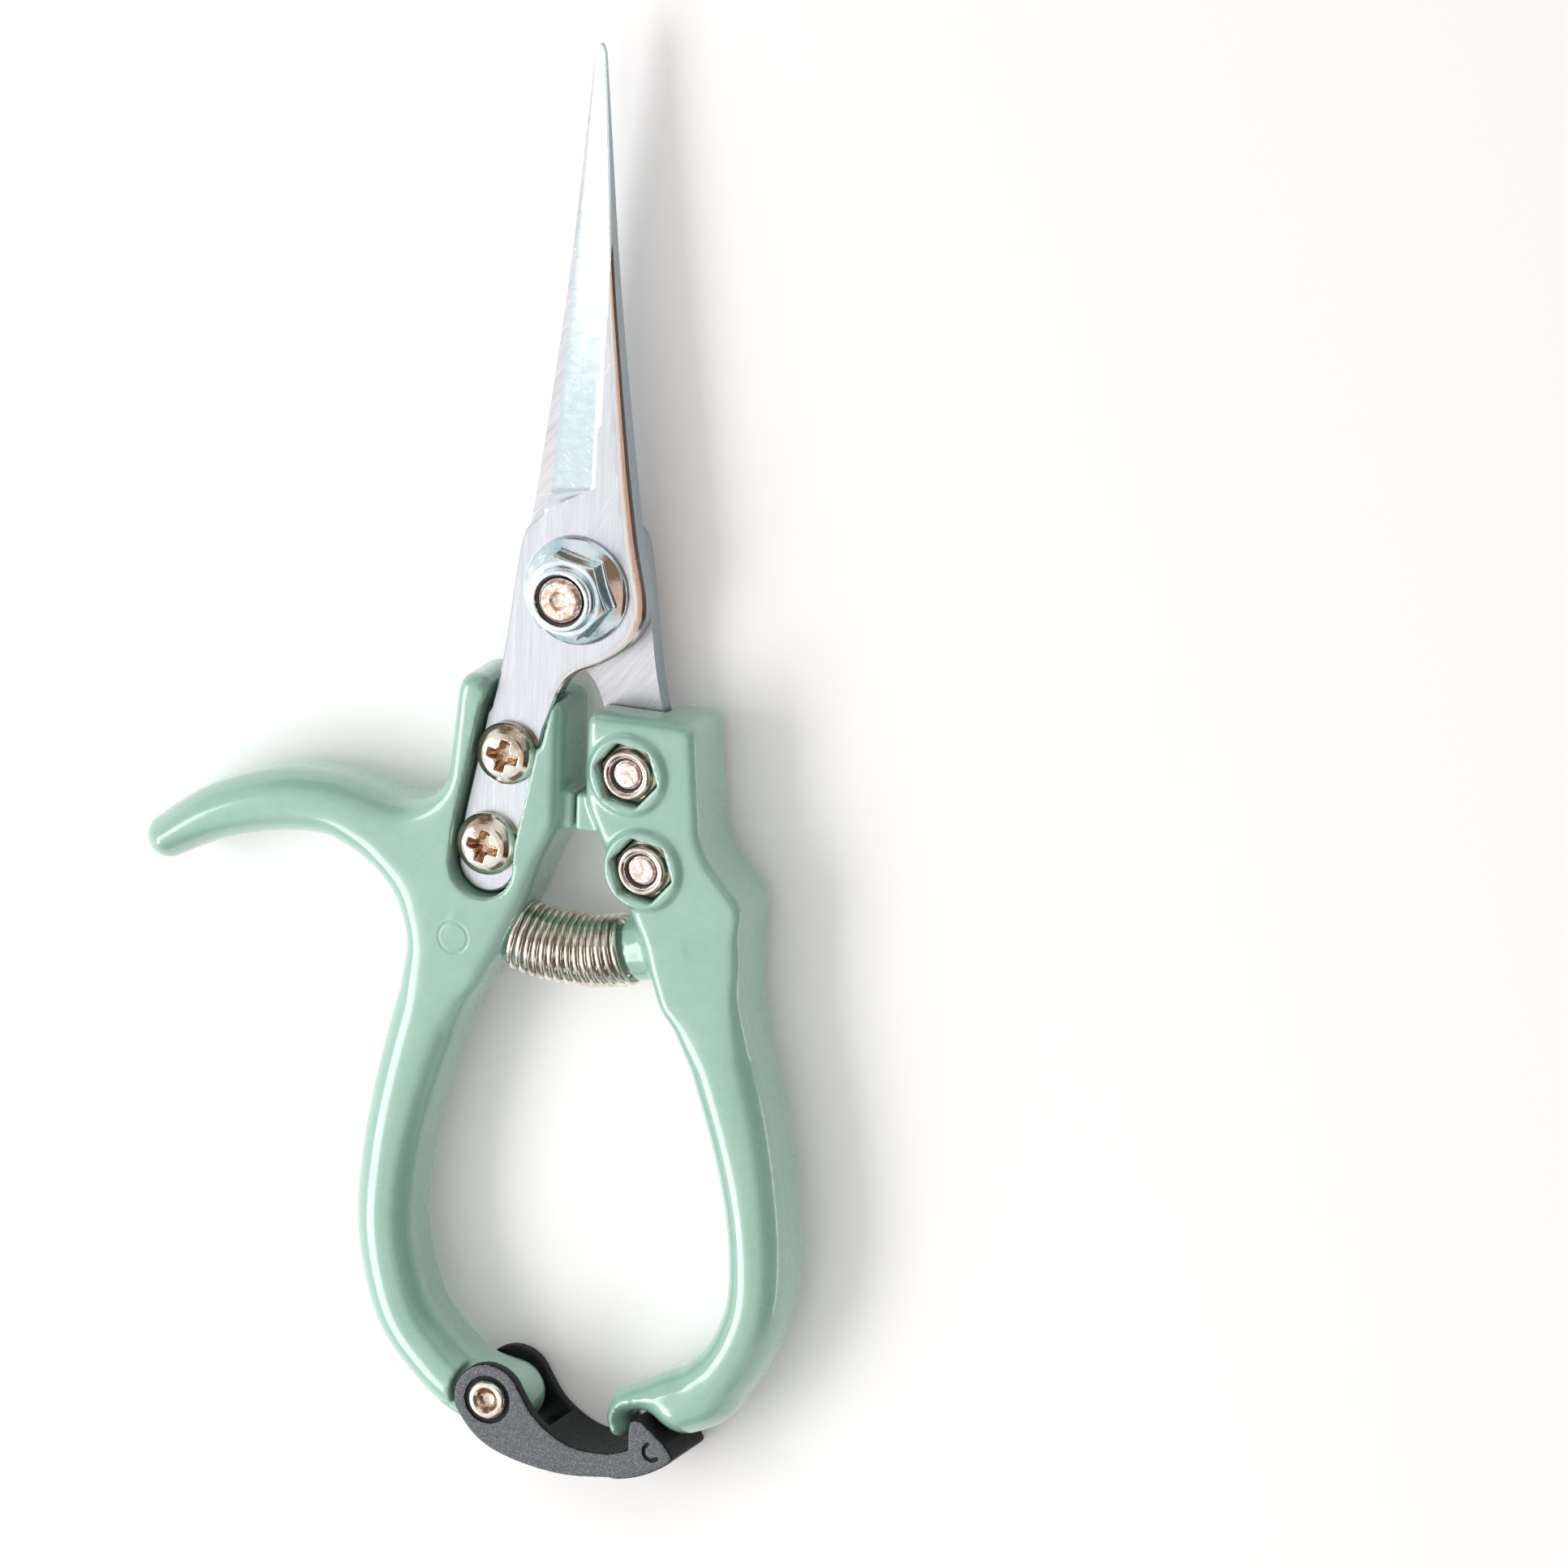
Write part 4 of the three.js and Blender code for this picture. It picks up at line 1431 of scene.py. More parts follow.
@dataclass
class Pivot:
    """The bolt that both blades turn on, with its flange lock nut.

    Attributes:
        shank: radius of the bolt.
        across: size of both hexagons across flats.
        turn: how far the hexagons stand turned, in degrees.
        flange: radius of the nut's flange.
        collar: radius of the nut's collar.
        ring: wall of its nylon ring.
        face: height of the blade face that the nut sits on.
    """

    shank: float = 2.95
    across: float = 10.0
    turn: float = 19.0
    flange: float = 7.1
    collar: float = 4.2
    ring: float = 0.6
    face: float = 3.1

    def bolt(self, low: float, high: float, step: float) -> Skin:
        """Makes the bolt, its free end dished.

        Args:
            low: its lowest z.
            high: its highest z.
            step: size of a face, in millimetres.

        Returns:
            Its skin: zone 1 is the thread.
        """
        head = slab(hexagon(0, 0, self.across, self.turn), low, -self.face, 0.12)
        dome = turned([(0, low), (4.75, low), (5.9, low + 0.75), (5.9, 0), (0, 0)])
        shank = turned([
            (0, low + 0.5), (self.shank, low + 0.5), (self.shank, high - 0.55),
            (self.shank - 0.5, high), (1.3, high), (0.8, high - 0.25), (0, high - 0.3)])
        skin = head.within(dome, 0.1).plus(shank, 0.15).skin((-6, -6, low), (6, 6, high), step)
        return skin.zoned(lambda middle, _: middle[:, 2] > high - 3.0)

    def nut(self, low: float, high: float, step: float) -> Skin:
        """Makes the flange nut.

        Args:
            low: its lowest z.
            high: its highest z.
            step: size of a face, in millimetres.

        Returns:
            Its skin.
        """
        top = high - 1.4
        flange = turned([
            (0, low), (self.flange - 0.1, low), (self.flange, low + 0.15),
            (self.flange, low + 0.5), (self.flange - 0.35, low + 0.75),
            (self.collar + 0.9, low + 1.45), (0, low + 1.45)])
        hexes = slab(hexagon(0, 0, self.across, self.turn), low + 0.2, top, 0.10)
        cone = turned([(0, low), (7.5, low), (7.5, top - 1.2), (4.75, top), (0, top)])
        collar = turned([
            (0, low), (self.collar, low), (self.collar, high - 0.45),
            (self.collar - 0.12, high - 0.12), (self.collar - 0.45, high), (0, high)])
        bore = slab(disc(0, 0, self.shank + 0.15), low - 2, high + 2)
        counter = slab(disc(0, 0, self.shank + 0.15 + self.ring + 0.05), high - 1.0, high - 0.3)
        counter = counter.plus(slab(disc(0, 0, self.shank + 0.45), high - 1.0, high + 2))
        body = hexes.within(cone, 0.12).plus(flange, 0.35).plus(collar, 0.3)
        body = body.less(bore).less(counter, 0.06)
        return body.skin((-7.2, -7.2, low), (7.2, 7.2, high), step)

    def ring_skin(self, low: float, high: float, step: float) -> Skin:
        """Makes the nylon ring, domed where it bulges past the thread.

        Args:
            low: its lowest z.
            high: its highest z.
            step: size of a face, in millimetres.

        Returns:
            Its skin.
        """
        inner, outer = self.shank + 0.13, self.shank + 0.15 + self.ring
        top = high - 0.34
        ring = turned([
            (inner, low), (outer, low), (outer, top - 0.05), (outer - 0.05, top),
            (inner + 0.12, top), (inner, top - 0.2)])
        return ring.skin((-outer, -outer, low), (outer, outer, high), step)

    def build(self, bench: Bench) -> None:
        """Makes and lays the bolt, the nut and the ring.

        Args:
            bench: where they are laid.
        """
        step = 0.14 * bench.fine
        bench.lay("pivot_bolt", self.bolt(*bench.heights("pivot_bolt"), step),
                  NICKEL, PIVOT_THREAD)
        bench.lay("pivot_nut", self.nut(*bench.heights("pivot_nut"), step), ZINC)
        bench.lay("pivot_nut_insert",
                  self.ring_skin(*bench.heights("pivot_nut_insert"), 0.12 * bench.fine), NYLON)


@dataclass
class TangFastener:
    """One screw through a blade's tang, with its lock nut in the casting's pocket.

    Attributes:
        shank: radius of the screw.
        head: radius of its pan head.
        head_height: height of its pan head.
        recess_turn: turn of its cross recess, in degrees.
        across: nut's size across flats.
        nut_turn: turn of the nut, in degrees.
        ring: wall of the nylon ring.
    """

    shank: float = 1.95
    head: float = 4.1
    head_height: float = 2.5
    recess_turn: float = -13.0
    across: float = 7.0
    nut_turn: float = 19.0
    ring: float = 0.6

    def screw(self, low: float, high: float, step: float) -> Skin:
        """Makes the screw, head up.

        Args:
            low: its lowest z.
            high: its highest z.
            step: size of a face, in millimetres.

        Returns:
            Its skin: zone 1 is the thread's end and 2 the cross recess.
        """
        seat = high - self.head_height
        blank = turned([
            (0, low), (self.shank - 0.35, low), (self.shank, low + 0.35), (self.shank, seat),
            (self.head - 0.1, seat), (self.head, seat + 0.12), (self.head, seat + 0.85),
            (self.head - 0.2, seat + 1.3), (self.head - 0.62, seat + 1.72),
            (self.head - 1.2, high - 0.36), (self.head - 1.9, high - 0.14),
            (self.head - 2.8, high - 0.03), (0, high)])
        cross = self._cross(high)
        skin = blank.less(cross, 0.18).skin(
            (-self.head, -self.head, low), (self.head, self.head, high), step)

        def zone(middle: np.ndarray, _: np.ndarray) -> np.ndarray:
            """Tells the thread's end and the cross recess from the rest.

            Args:
                middle: the faces' middles.
                _: the faces' normals, not used.

            Returns:
                1 on the thread's end, 2 in the recess, 0 elsewhere.
            """
            deep = cross.distance(Spot(*middle.T)) < 0.03
            return np.where(middle[:, 2] < low + 2.5, 1, np.where(deep, 2, 0))

        return skin.zoned(zone)

    def _cross(self, high: float) -> Form:
        """Shapes the cross recess, its wings narrowing as they go down.

        Args:
            high: z of the head's top.

        Returns:
            The room it takes.
        """
        turn = math.radians(self.recess_turn)

        def distance(at: Spot) -> np.ndarray:
            """Measures to the recess.

            Args:
                at: where it is wanted.

            Returns:
                The distances.
            """
            u = np.abs(at.x * math.cos(turn) + at.y * math.sin(turn))
            v = np.abs(at.y * math.cos(turn) - at.x * math.sin(turn))
            down = np.maximum(high - at.z, 0)
            wing = np.minimum(
                np.maximum(u - 2.25 + 0.60 * down, v - 0.62 + 0.10 * down),
                np.maximum(v - 2.25 + 0.60 * down, u - 0.62 + 0.10 * down))
            hub = (u + v) * 0.707 - 1.2 + 0.38 * down
            return np.maximum(np.minimum(wing, hub), high - 1.9 - at.z)

        return Form(distance)

    def nut(self, low: float, high: float, step: float) -> Skin:
        """Makes the lock nut, its collar up.

        Args:
            low: its lowest z.
            high: its highest z.
            step: size of a face, in millimetres.

        Returns:
            Its skin.
        """
        top = high - 1.3
        hexes = slab(hexagon(0, 0, self.across, self.nut_turn), low, top, 0.08)
        cone = turned([(0, low), (5, low), (5, top - 0.75), (3.45, top), (0, top)])
        wall = self.across / 2 - 0.25
        collar = turned([
            (0, low), (wall, low), (wall, high - 0.5), (wall - 0.1, high - 0.18),
            (wall - 0.35, high), (wall - 0.62, high - 0.05), (wall - 0.80, high - 0.22),
            (0, high - 0.22)])
        bore = slab(disc(0, 0, self.shank + 0.12), low - 2, high + 2)
        counter = slab(disc(0, 0, self.shank + 0.12 + self.ring + 0.05), high - 1.0, high - 0.3)
        counter = counter.plus(slab(disc(0, 0, self.shank + 0.32), high - 1.0, high + 2))
        body = hexes.within(cone, 0.1).plus(collar, 0.2).less(bore).less(counter, 0.05)
        return body.skin((-4.1, -4.1, low), (4.1, 4.1, high), step)

    def ring_skin(self, low: float, high: float, step: float) -> Skin:
        """Makes the nylon ring, its bore up.

        Args:
            low: its lowest z.
            high: its highest z.
            step: size of a face, in millimetres.

        Returns:
            Its skin.
        """
        inner, outer = self.shank + 0.1, self.shank + 0.12 + self.ring
        top = high - 0.34
        ring = turned([
            (inner, low), (outer, low), (outer, top - 0.05), (outer - 0.05, top),
            (inner + 0.1, top), (inner, top - 0.15)])
        return ring.skin((-outer, -outer, low), (outer, outer, high), step)

    def build(self, bench: Bench, number: int, behind: bool) -> None:
        """Makes and lays a screw, its nut and its ring.

        Args:
            bench: where they are laid.
            number: 1 or 2, from the pivot down.
            behind: True on the palm side, whose screw heads face the back.
        """
        side = "back" if behind else "front"
        screw = f"{side}_tang_screw_{number}"
        spot = bench.middle(screw)
        up = 1 if behind else -1
        low, high = sorted(-up * z for z in bench.heights(screw))
        skin = self.screw(low, high, 0.11 * bench.fine)
        # The cross recess takes the darker nickel: painted shade in the recess.
        bench.lay(
            screw, self._set(skin, spot, behind), NICKEL, SCREW_THREAD, RECESS_SHADE_NICKEL)
        for name, make, finish, step in (
                ("nut", self.nut, WARM_NICKEL, 0.11), ("nut_insert", self.ring_skin, NYLON, 0.1)):
            node = f"{side}_tang_{name}_{number}"
            low, high = sorted(up * z for z in bench.heights(node))
            skin = make(low, high, step * bench.fine)
            bench.lay(node, self._set(skin, spot, not behind), finish)

    def _set(self, skin: Skin, spot: Point, over: bool) -> Skin:
        """Returns a skin made face up, turned over if asked, at its spot."""
        return (skin.turned_over() if over else skin).moved(*spot, 0.0)


@dataclass
class Casting:
    """What the two handle castings share: the screw block's pocket, bosses, peg and lug.

    Attributes:
        half: half the casting's thickness.
        boss_rise: how far each nut boss stands out of its back.
        boss: radius of a boss.
        clearance: gap round the tang.
        pocket: size across flats of a nut's pocket.
        pocket_floor: depth of its floor behind the mid plane.
        turn: turn of the pockets, in degrees.
        spring_y: height of the spring's axis.
        peg_x: each peg's shoulder, from the centre line.
        peg_tilt: slope of the pegs, in degrees.
        limb_rim: radius along the arms' shoulders.
        crown: how far the arms' faces fall away at their shoulders.
        crown_reach: how far in from the outline that begins.
        block_rim: radius round the block.
        tang: the tang's shape.
    """

    half: float = 5.5
    boss_rise: float = 0.8
    boss: float = 5.2
    clearance: float = 0.35
    pocket: float = 7.5
    pocket_floor: float = 1.85
    turn: float = 19.0
    spring_y: float = -47.2
    peg_x: float = 8.2
    peg_tilt: float = 15.0
    limb_rim: float = 3.0
    crown: float = 1.1
    crown_reach: float = 4.5
    block_rim: float = 1.5
    tang: TangSeat = field(default_factory=TangSeat)

    def grip(self, part: float, latch_y: float) -> float:
        """Returns the height of a share of the way from the spring to the latch."""
        return self.spring_y + (latch_y - self.spring_y) * part

    def body(self, block: Sequence[Station], limbs: Sequence[tuple]) -> Form:
        """Runs the screw block and its limbs together, rounder away from the block.

        Args:
            block: corners of the screw block.
            limbs: stations of each limb, and the fillet where it joins.

        Returns:
            The casting's body, of one thickness throughout.
        """
        flat_block = around(eased_polygon(block))
        flat_limbs = [(along(stations), fillet) for stations, fillet in limbs]

        def distance(at: Spot) -> np.ndarray:
            """Measures to the body.

            Args:
                at: where it is wanted.

            Returns:
                The distances.
            """
            near = flat_block(at.x, at.y)
            whole = near
            for limb, fillet in flat_limbs:
                whole = soft_least(whole, limb(at.x, at.y), fillet)
            share = np.clip((near + 1.0) / 8.0, 0, 1)
            rim = self.block_rim + (self.limb_rim - self.block_rim) * share
            fall = np.clip(1 + whole / self.crown_reach, 0, 1) ** 2
            fall = fall * self.crown * (0.15 + 0.85 * share)
            out, up = whole + rim, np.abs(at.z) - self.half + fall + rim
            return np.minimum(np.maximum(out, up), 0) + np.hypot(
                np.maximum(out, 0), np.maximum(up, 0)) - rim

        return Form(distance)

    def lug(self, x0: float, x1: float) -> Form:
        """Returns a stop lug between x0 and x1."""
        corners = [(x0, -31.6, 0.5), (x1, -31.6, 0.5), (x1, -26.6, 0.5), (x0, -26.6, 0.5)]
        return slab(around(eased_polygon(corners)), -self.half + 2, self.half - 2, 0.5)

    def peg(self, root: float) -> Form:
        """Shapes the thumb side's spring peg.

        Args:
            root: how far it reaches back into the casting.

        Returns:
            The peg.
        """
        tilt = math.radians(-self.peg_tilt)
        rim = around(np.array([
            (-root, -5.2), (0.0, -4.2), (0.05, -3.3), (2.4, -3.3), (3.0, -2.6), (3.0, 2.6),
            (2.4, 3.3), (0.05, 3.3), (0.0, 4.2), (-root, 5.2)]))

        def distance(at: Spot) -> np.ndarray:
            """Measures to the peg.

            Args:
                at: where it is wanted.

            Returns:
                The distances.
            """
            x, y = at.x + self.peg_x, at.y - self.spring_y - 0.2
            forward = x * math.cos(tilt) + y * math.sin(tilt)
            aside = np.hypot(y * math.cos(tilt) - x * math.sin(tilt), at.z)
            return rim(*np.broadcast_arrays(forward, aside))

        return Form(distance)

    def bosses(self) -> Form:
        """Shapes the two nut bosses on the thumb side's back.

        Returns:
            The bosses.
        """
        back = -self.half - self.boss_rise
        (ax, ay), (bx, by) = self.tang.holes
        return slab(disc(ax, ay, self.boss), back, -3.5, 0.45).plus(
            slab(disc(bx, by, self.boss), back, -3.5, 0.45), 0.8)

    def openings(self) -> Form:
        """Shapes the tang's pocket and neck, the screw holes and the nut pockets.

        Returns:
            The room they take.
        """
        neck = around(eased_polygon([
            (-12.3, -19.0, 0.6), (-3.6, -21.0, 0.6), (-2.9, -18.0, 0.6), (-1.5, -13.4, 0.6),
            (-0.4, -9.0, 0.6), (-10.2, -9.0, 0.6), (-10.9, -13.0, 0.6)]))
        tang = along(self.tang.wide(), self.clearance)
        back = self.half + self.boss_rise + 3.0
        out = slab(lambda x, y: soft_least(tang(x, y), neck(x, y), 0.4), -0.05, back)
        for x, y in self.tang.holes:
            out = out.plus(slab(disc(x, y, 2.2), -back, 1.0))
            out = out.plus(slab(
                hexagon(x, y, self.pocket, -self.turn), -back, -self.pocket_floor))
        return out


@dataclass
class ThumbHandle(Casting):
    """The left casting: screw block, thumb hook, arm, and the lug inside the latch's fork.

    Attributes:
        ear: radius of the latch's ear that the lug makes room for.
        lug_half: half the lug's thickness.
        rivet_bore: radius of its hole for the rivet.
    """

    ear: float = 5.3
    lug_half: float = 3.5
    rivet_bore: float = 1.79

    def form(self, latch: Point) -> Form:
        """Shapes the casting.

        Args:
            latch: the latch rivet's place in plan.

        Returns:
            The casting.
        """
        lx, ly = latch
        at = [self.grip(part, ly) for part in (0, 0.1, 0.34, 0.52, 0.68, 0.84, 0.935, 0.99, 1.01)]
        arm = [
            (-15.6, at[0], 6.0), (-17.4, at[1], 5.2), (-21.6, at[2], 4.5), (-23.7, at[3], 4.2),
            (-24.0, at[4], 4.15), (-21.4, at[5], 4.2), (-16.8, at[6], 4.2),
            (-12.4, at[7], 4.25), (lx + 0.6, at[8], 4.3)]
        hook = [
            (-15.0, -39.2, 7.2), (-22.5, -36.9, 5.6), (-28.0, -34.6, 4.6), (-33.5, -33.1, 4.2),
            (-41.0, -33.6, 4.1), (-49.3, -36.4, 3.6), (-55.9, -40.4, 2.9)]
        block = [
            (-0.9, -14.4, 2.2), (-10.8, -14.2, 1.5), (-12.0, -12.3, 1.2), (-15.3, -12.9, 2.6),
            (-16.6, -28.2, 3.0), (-19.6, -34.0, 3.0), (-19.8, -46.0, 3.0), (-16.8, -53.0, 3.0),
            (-12.6, -54.0, 2.0), (-9.8, -47.6, 1.5), (-0.9, -31.2, 2.0)]
        body = self.body(block, [(arm, 4.0), (hook, 7.0)]).plus(self.peg(7.0), 0.8)
        body = body.plus(self.lug(-2.9, 0.45), 0.5).plus(self.bosses(), 0.9)
        return body.less(self.openings(), 0.35).less(self._relief(latch), 0.3).less(
            slab(disc(lx, ly, self.rivet_bore), -9, 9))

    def _relief(self, latch: Point) -> Form:
        """Shapes the room for the latch's two ears beside the lug.

        Args:
            latch: the latch rivet's place in plan.

        Returns:
            The room they take.
        """
        lx, ly = latch
        swing = disc(lx, ly, self.ear + 2.4)
        ear = disc(lx, ly, self.ear)

        def flat(x: np.ndarray, y: np.ndarray) -> np.ndarray:
            """Measures to the room in plan.

            Args:
                x: places across the tool.
                y: places along it.

            Returns:
                The signed distances.
            """
            corner = np.maximum(np.maximum(swing(x, y), x - lx), y - ly + 1.5)
            end = np.maximum(lx - x, np.abs(y - ly) - self.ear - 2.4)
            return np.minimum(np.minimum(ear(x, y), corner), end)

        return Form(lambda at: np.maximum(flat(at.x, at.y), self.lug_half - np.abs(at.z)))

    def build(self, bench: Bench) -> None:
        """Makes and lays the thumb handle.

        Args:
            bench: where it is laid.
        """
        low, high = (np.array(c) / MM - (0, 0, bench.lift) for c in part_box("thumb_handle"))
        skin = self.form(bench.hinge("latch_pivot")).skin(low, high, 0.36 * bench.fine)
        paint = GlossPaint("mint_gloss_paint_thumb", mark=(-14.7, -47.4), mark_radius=2.0)
        bench.lay("thumb_handle", skin, paint, sharp=60.0)


@dataclass
class PalmHandle(Casting):
    """The right casting: the same screw block turned over, an arm, and the latch's hook."""

    def form(self, latch: Point) -> Form:
        """Shapes the casting.

        Args:
            latch: the latch rivet's place in plan.

        Returns:
            The casting.
        """
        ly = latch[1]
        at = [self.grip(part, ly) for part in (0, 0.1, 0.34, 0.5, 0.63, 0.74, 0.84, 0.93, 0.965)]
        arm = [
            (18.4, at[0], 5.9), (19.9, at[1], 5.3), (24.4, at[2], 4.7), (26.5, at[3], 4.3),
            (27.3, at[4], 4.15), (26.9, at[5], 4.0), (24.6, at[6], 3.9), (20.6, at[7], 3.9),
            (17.6, at[8], 3.8)]
        hook = [
            (20.5, ly + 4.2, 3.6), (19.2, ly + 3.7, 3.4), (16.2, ly + 3.2, 3.0),
            (12.6, ly + 2.7, 2.05), (9.6, ly + 1.6, 1.6), (8.5, ly - 0.4, 1.45),
            (8.9, ly - 2.0, 1.4)]
        block = [
            (2.4, -15.2, 2.0), (2.4, -27.2, 2.0), (11.8, -46.8, 1.5), (14.2, -54.0, 2.0),
            (21.4, -54.0, 3.0), (23.6, -48.0, 2.5), (25.1, -38.4, 2.2), (18.9, -31.6, 3.0),
            (17.6, -15.2, 2.0)]
        body = self.body(block, [(arm, 3.0), (hook, 2.5)])
        body = body.plus(self.lug(0.75, 4.4), 0.5).plus(self.peg(9.0).turned_over(), 0.8)
        body = body.plus(self.bosses().turned_over(), 0.7)
        return body.less(self.openings().turned_over(), 0.35)

    def build(self, bench: Bench) -> None:
        """Makes and lays the palm handle.

        Args:
            bench: where it is laid.
        """
        low, high = (np.array(c) / MM - (0, 0, bench.lift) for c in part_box("palm_handle"))
        skin = self.form(bench.hinge("latch_pivot")).skin(low, high, 0.36 * bench.fine)
        bench.lay("palm_handle", skin, MINT_PAINT, sharp=60.0)


@dataclass
class ReturnSpring:
    """The coil of wire between the two pegs, sagging a little where it is squeezed.

    Attributes:
        radius: axis to the middle of the wire.
        wire: radius of the wire.
        turns: number of turns.
        bow: sag at mid length.
        inset: half its length.
        axis_y: height of its ends.
    """

    radius: float = 4.35
    wire: float = 0.45
    turns: float = 13.5
    bow: float = 1.0
    inset: float = 7.45
    axis_y: float = -47.2

    def middle(self, part: np.ndarray) -> np.ndarray:
        """Draws the wire's centre line.

        Args:
            part: shares of its length, 0 to 1.

        Returns:
            Its points.
        """
        far = 2 * part - 1
        far = far + 0.012 * np.sin(7.3 * far + 0.4) * (1 - far**4)
        tilt = np.arctan(2 * self.bow / self.inset * far)
        turn = 2 * math.pi * self.turns * part
        up = self.radius * np.cos(turn)
        return np.stack([
            self.inset * far - up * np.sin(tilt),
            self.axis_y - self.bow * (1 - far**2) + up * np.cos(tilt),
            self.radius * np.sin(turn)], axis=1)

    def skin(self, fine: float) -> Skin:
        """Draws the wire as a closed tube with slightly domed ends.

        Args:
            fine: multiplies the face size; 1 is full quality.

        Returns:
            Its skin.
        """
        steps, sides = int(self.turns * 40 / fine), 14
        line = self.middle(np.linspace(0, 1, steps + 1))
        ahead = np.gradient(line, axis=0)
        ahead /= np.linalg.norm(ahead, axis=1, keepdims=True)
        far = np.linspace(-1, 1, steps + 1)
        axis = np.stack([
            np.ones(steps + 1), 2 * self.bow / self.inset * far, np.zeros(steps + 1)], axis=1)
        one = np.cross(ahead, axis)
        one /= np.linalg.norm(one, axis=1, keepdims=True)
        two = np.cross(ahead, one)
        around_wire = 2 * math.pi * np.arange(sides) / sides
        rings = (line[:, None] + self.wire * (
            np.cos(around_wire)[None, :, None] * one[:, None]
            + np.sin(around_wire)[None, :, None] * two[:, None]))
        tips = np.stack([line[0] - ahead[0] * 0.15, line[-1] + ahead[-1] * 0.15])
        corners = np.vstack([rings.reshape(-1, 3), tips])
        faces = []
        for i in range(steps):
            for j in range(sides):
                k = (j + 1) % sides
                a, b = i * sides, (i + 1) * sides
                faces.append([a + j, a + k, b + k, b + j])
        last, first = steps * sides, len(corners) - 2
        faces += [[first, (j + 1) % sides, j] for j in range(sides)]
        faces += [[first + 1, last + j, last + (j + 1) % sides] for j in range(sides)]
        return Skin(corners, faces, np.zeros(len(faces), int))

    def build(self, bench: Bench) -> None:
        """Makes the spring and bends it between the two handles.

        Args:
            bench: where it is laid.
        """
        piece = bench.lay("return_spring", self.skin(bench.fine), SPRING_NICKEL)
        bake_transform(piece)


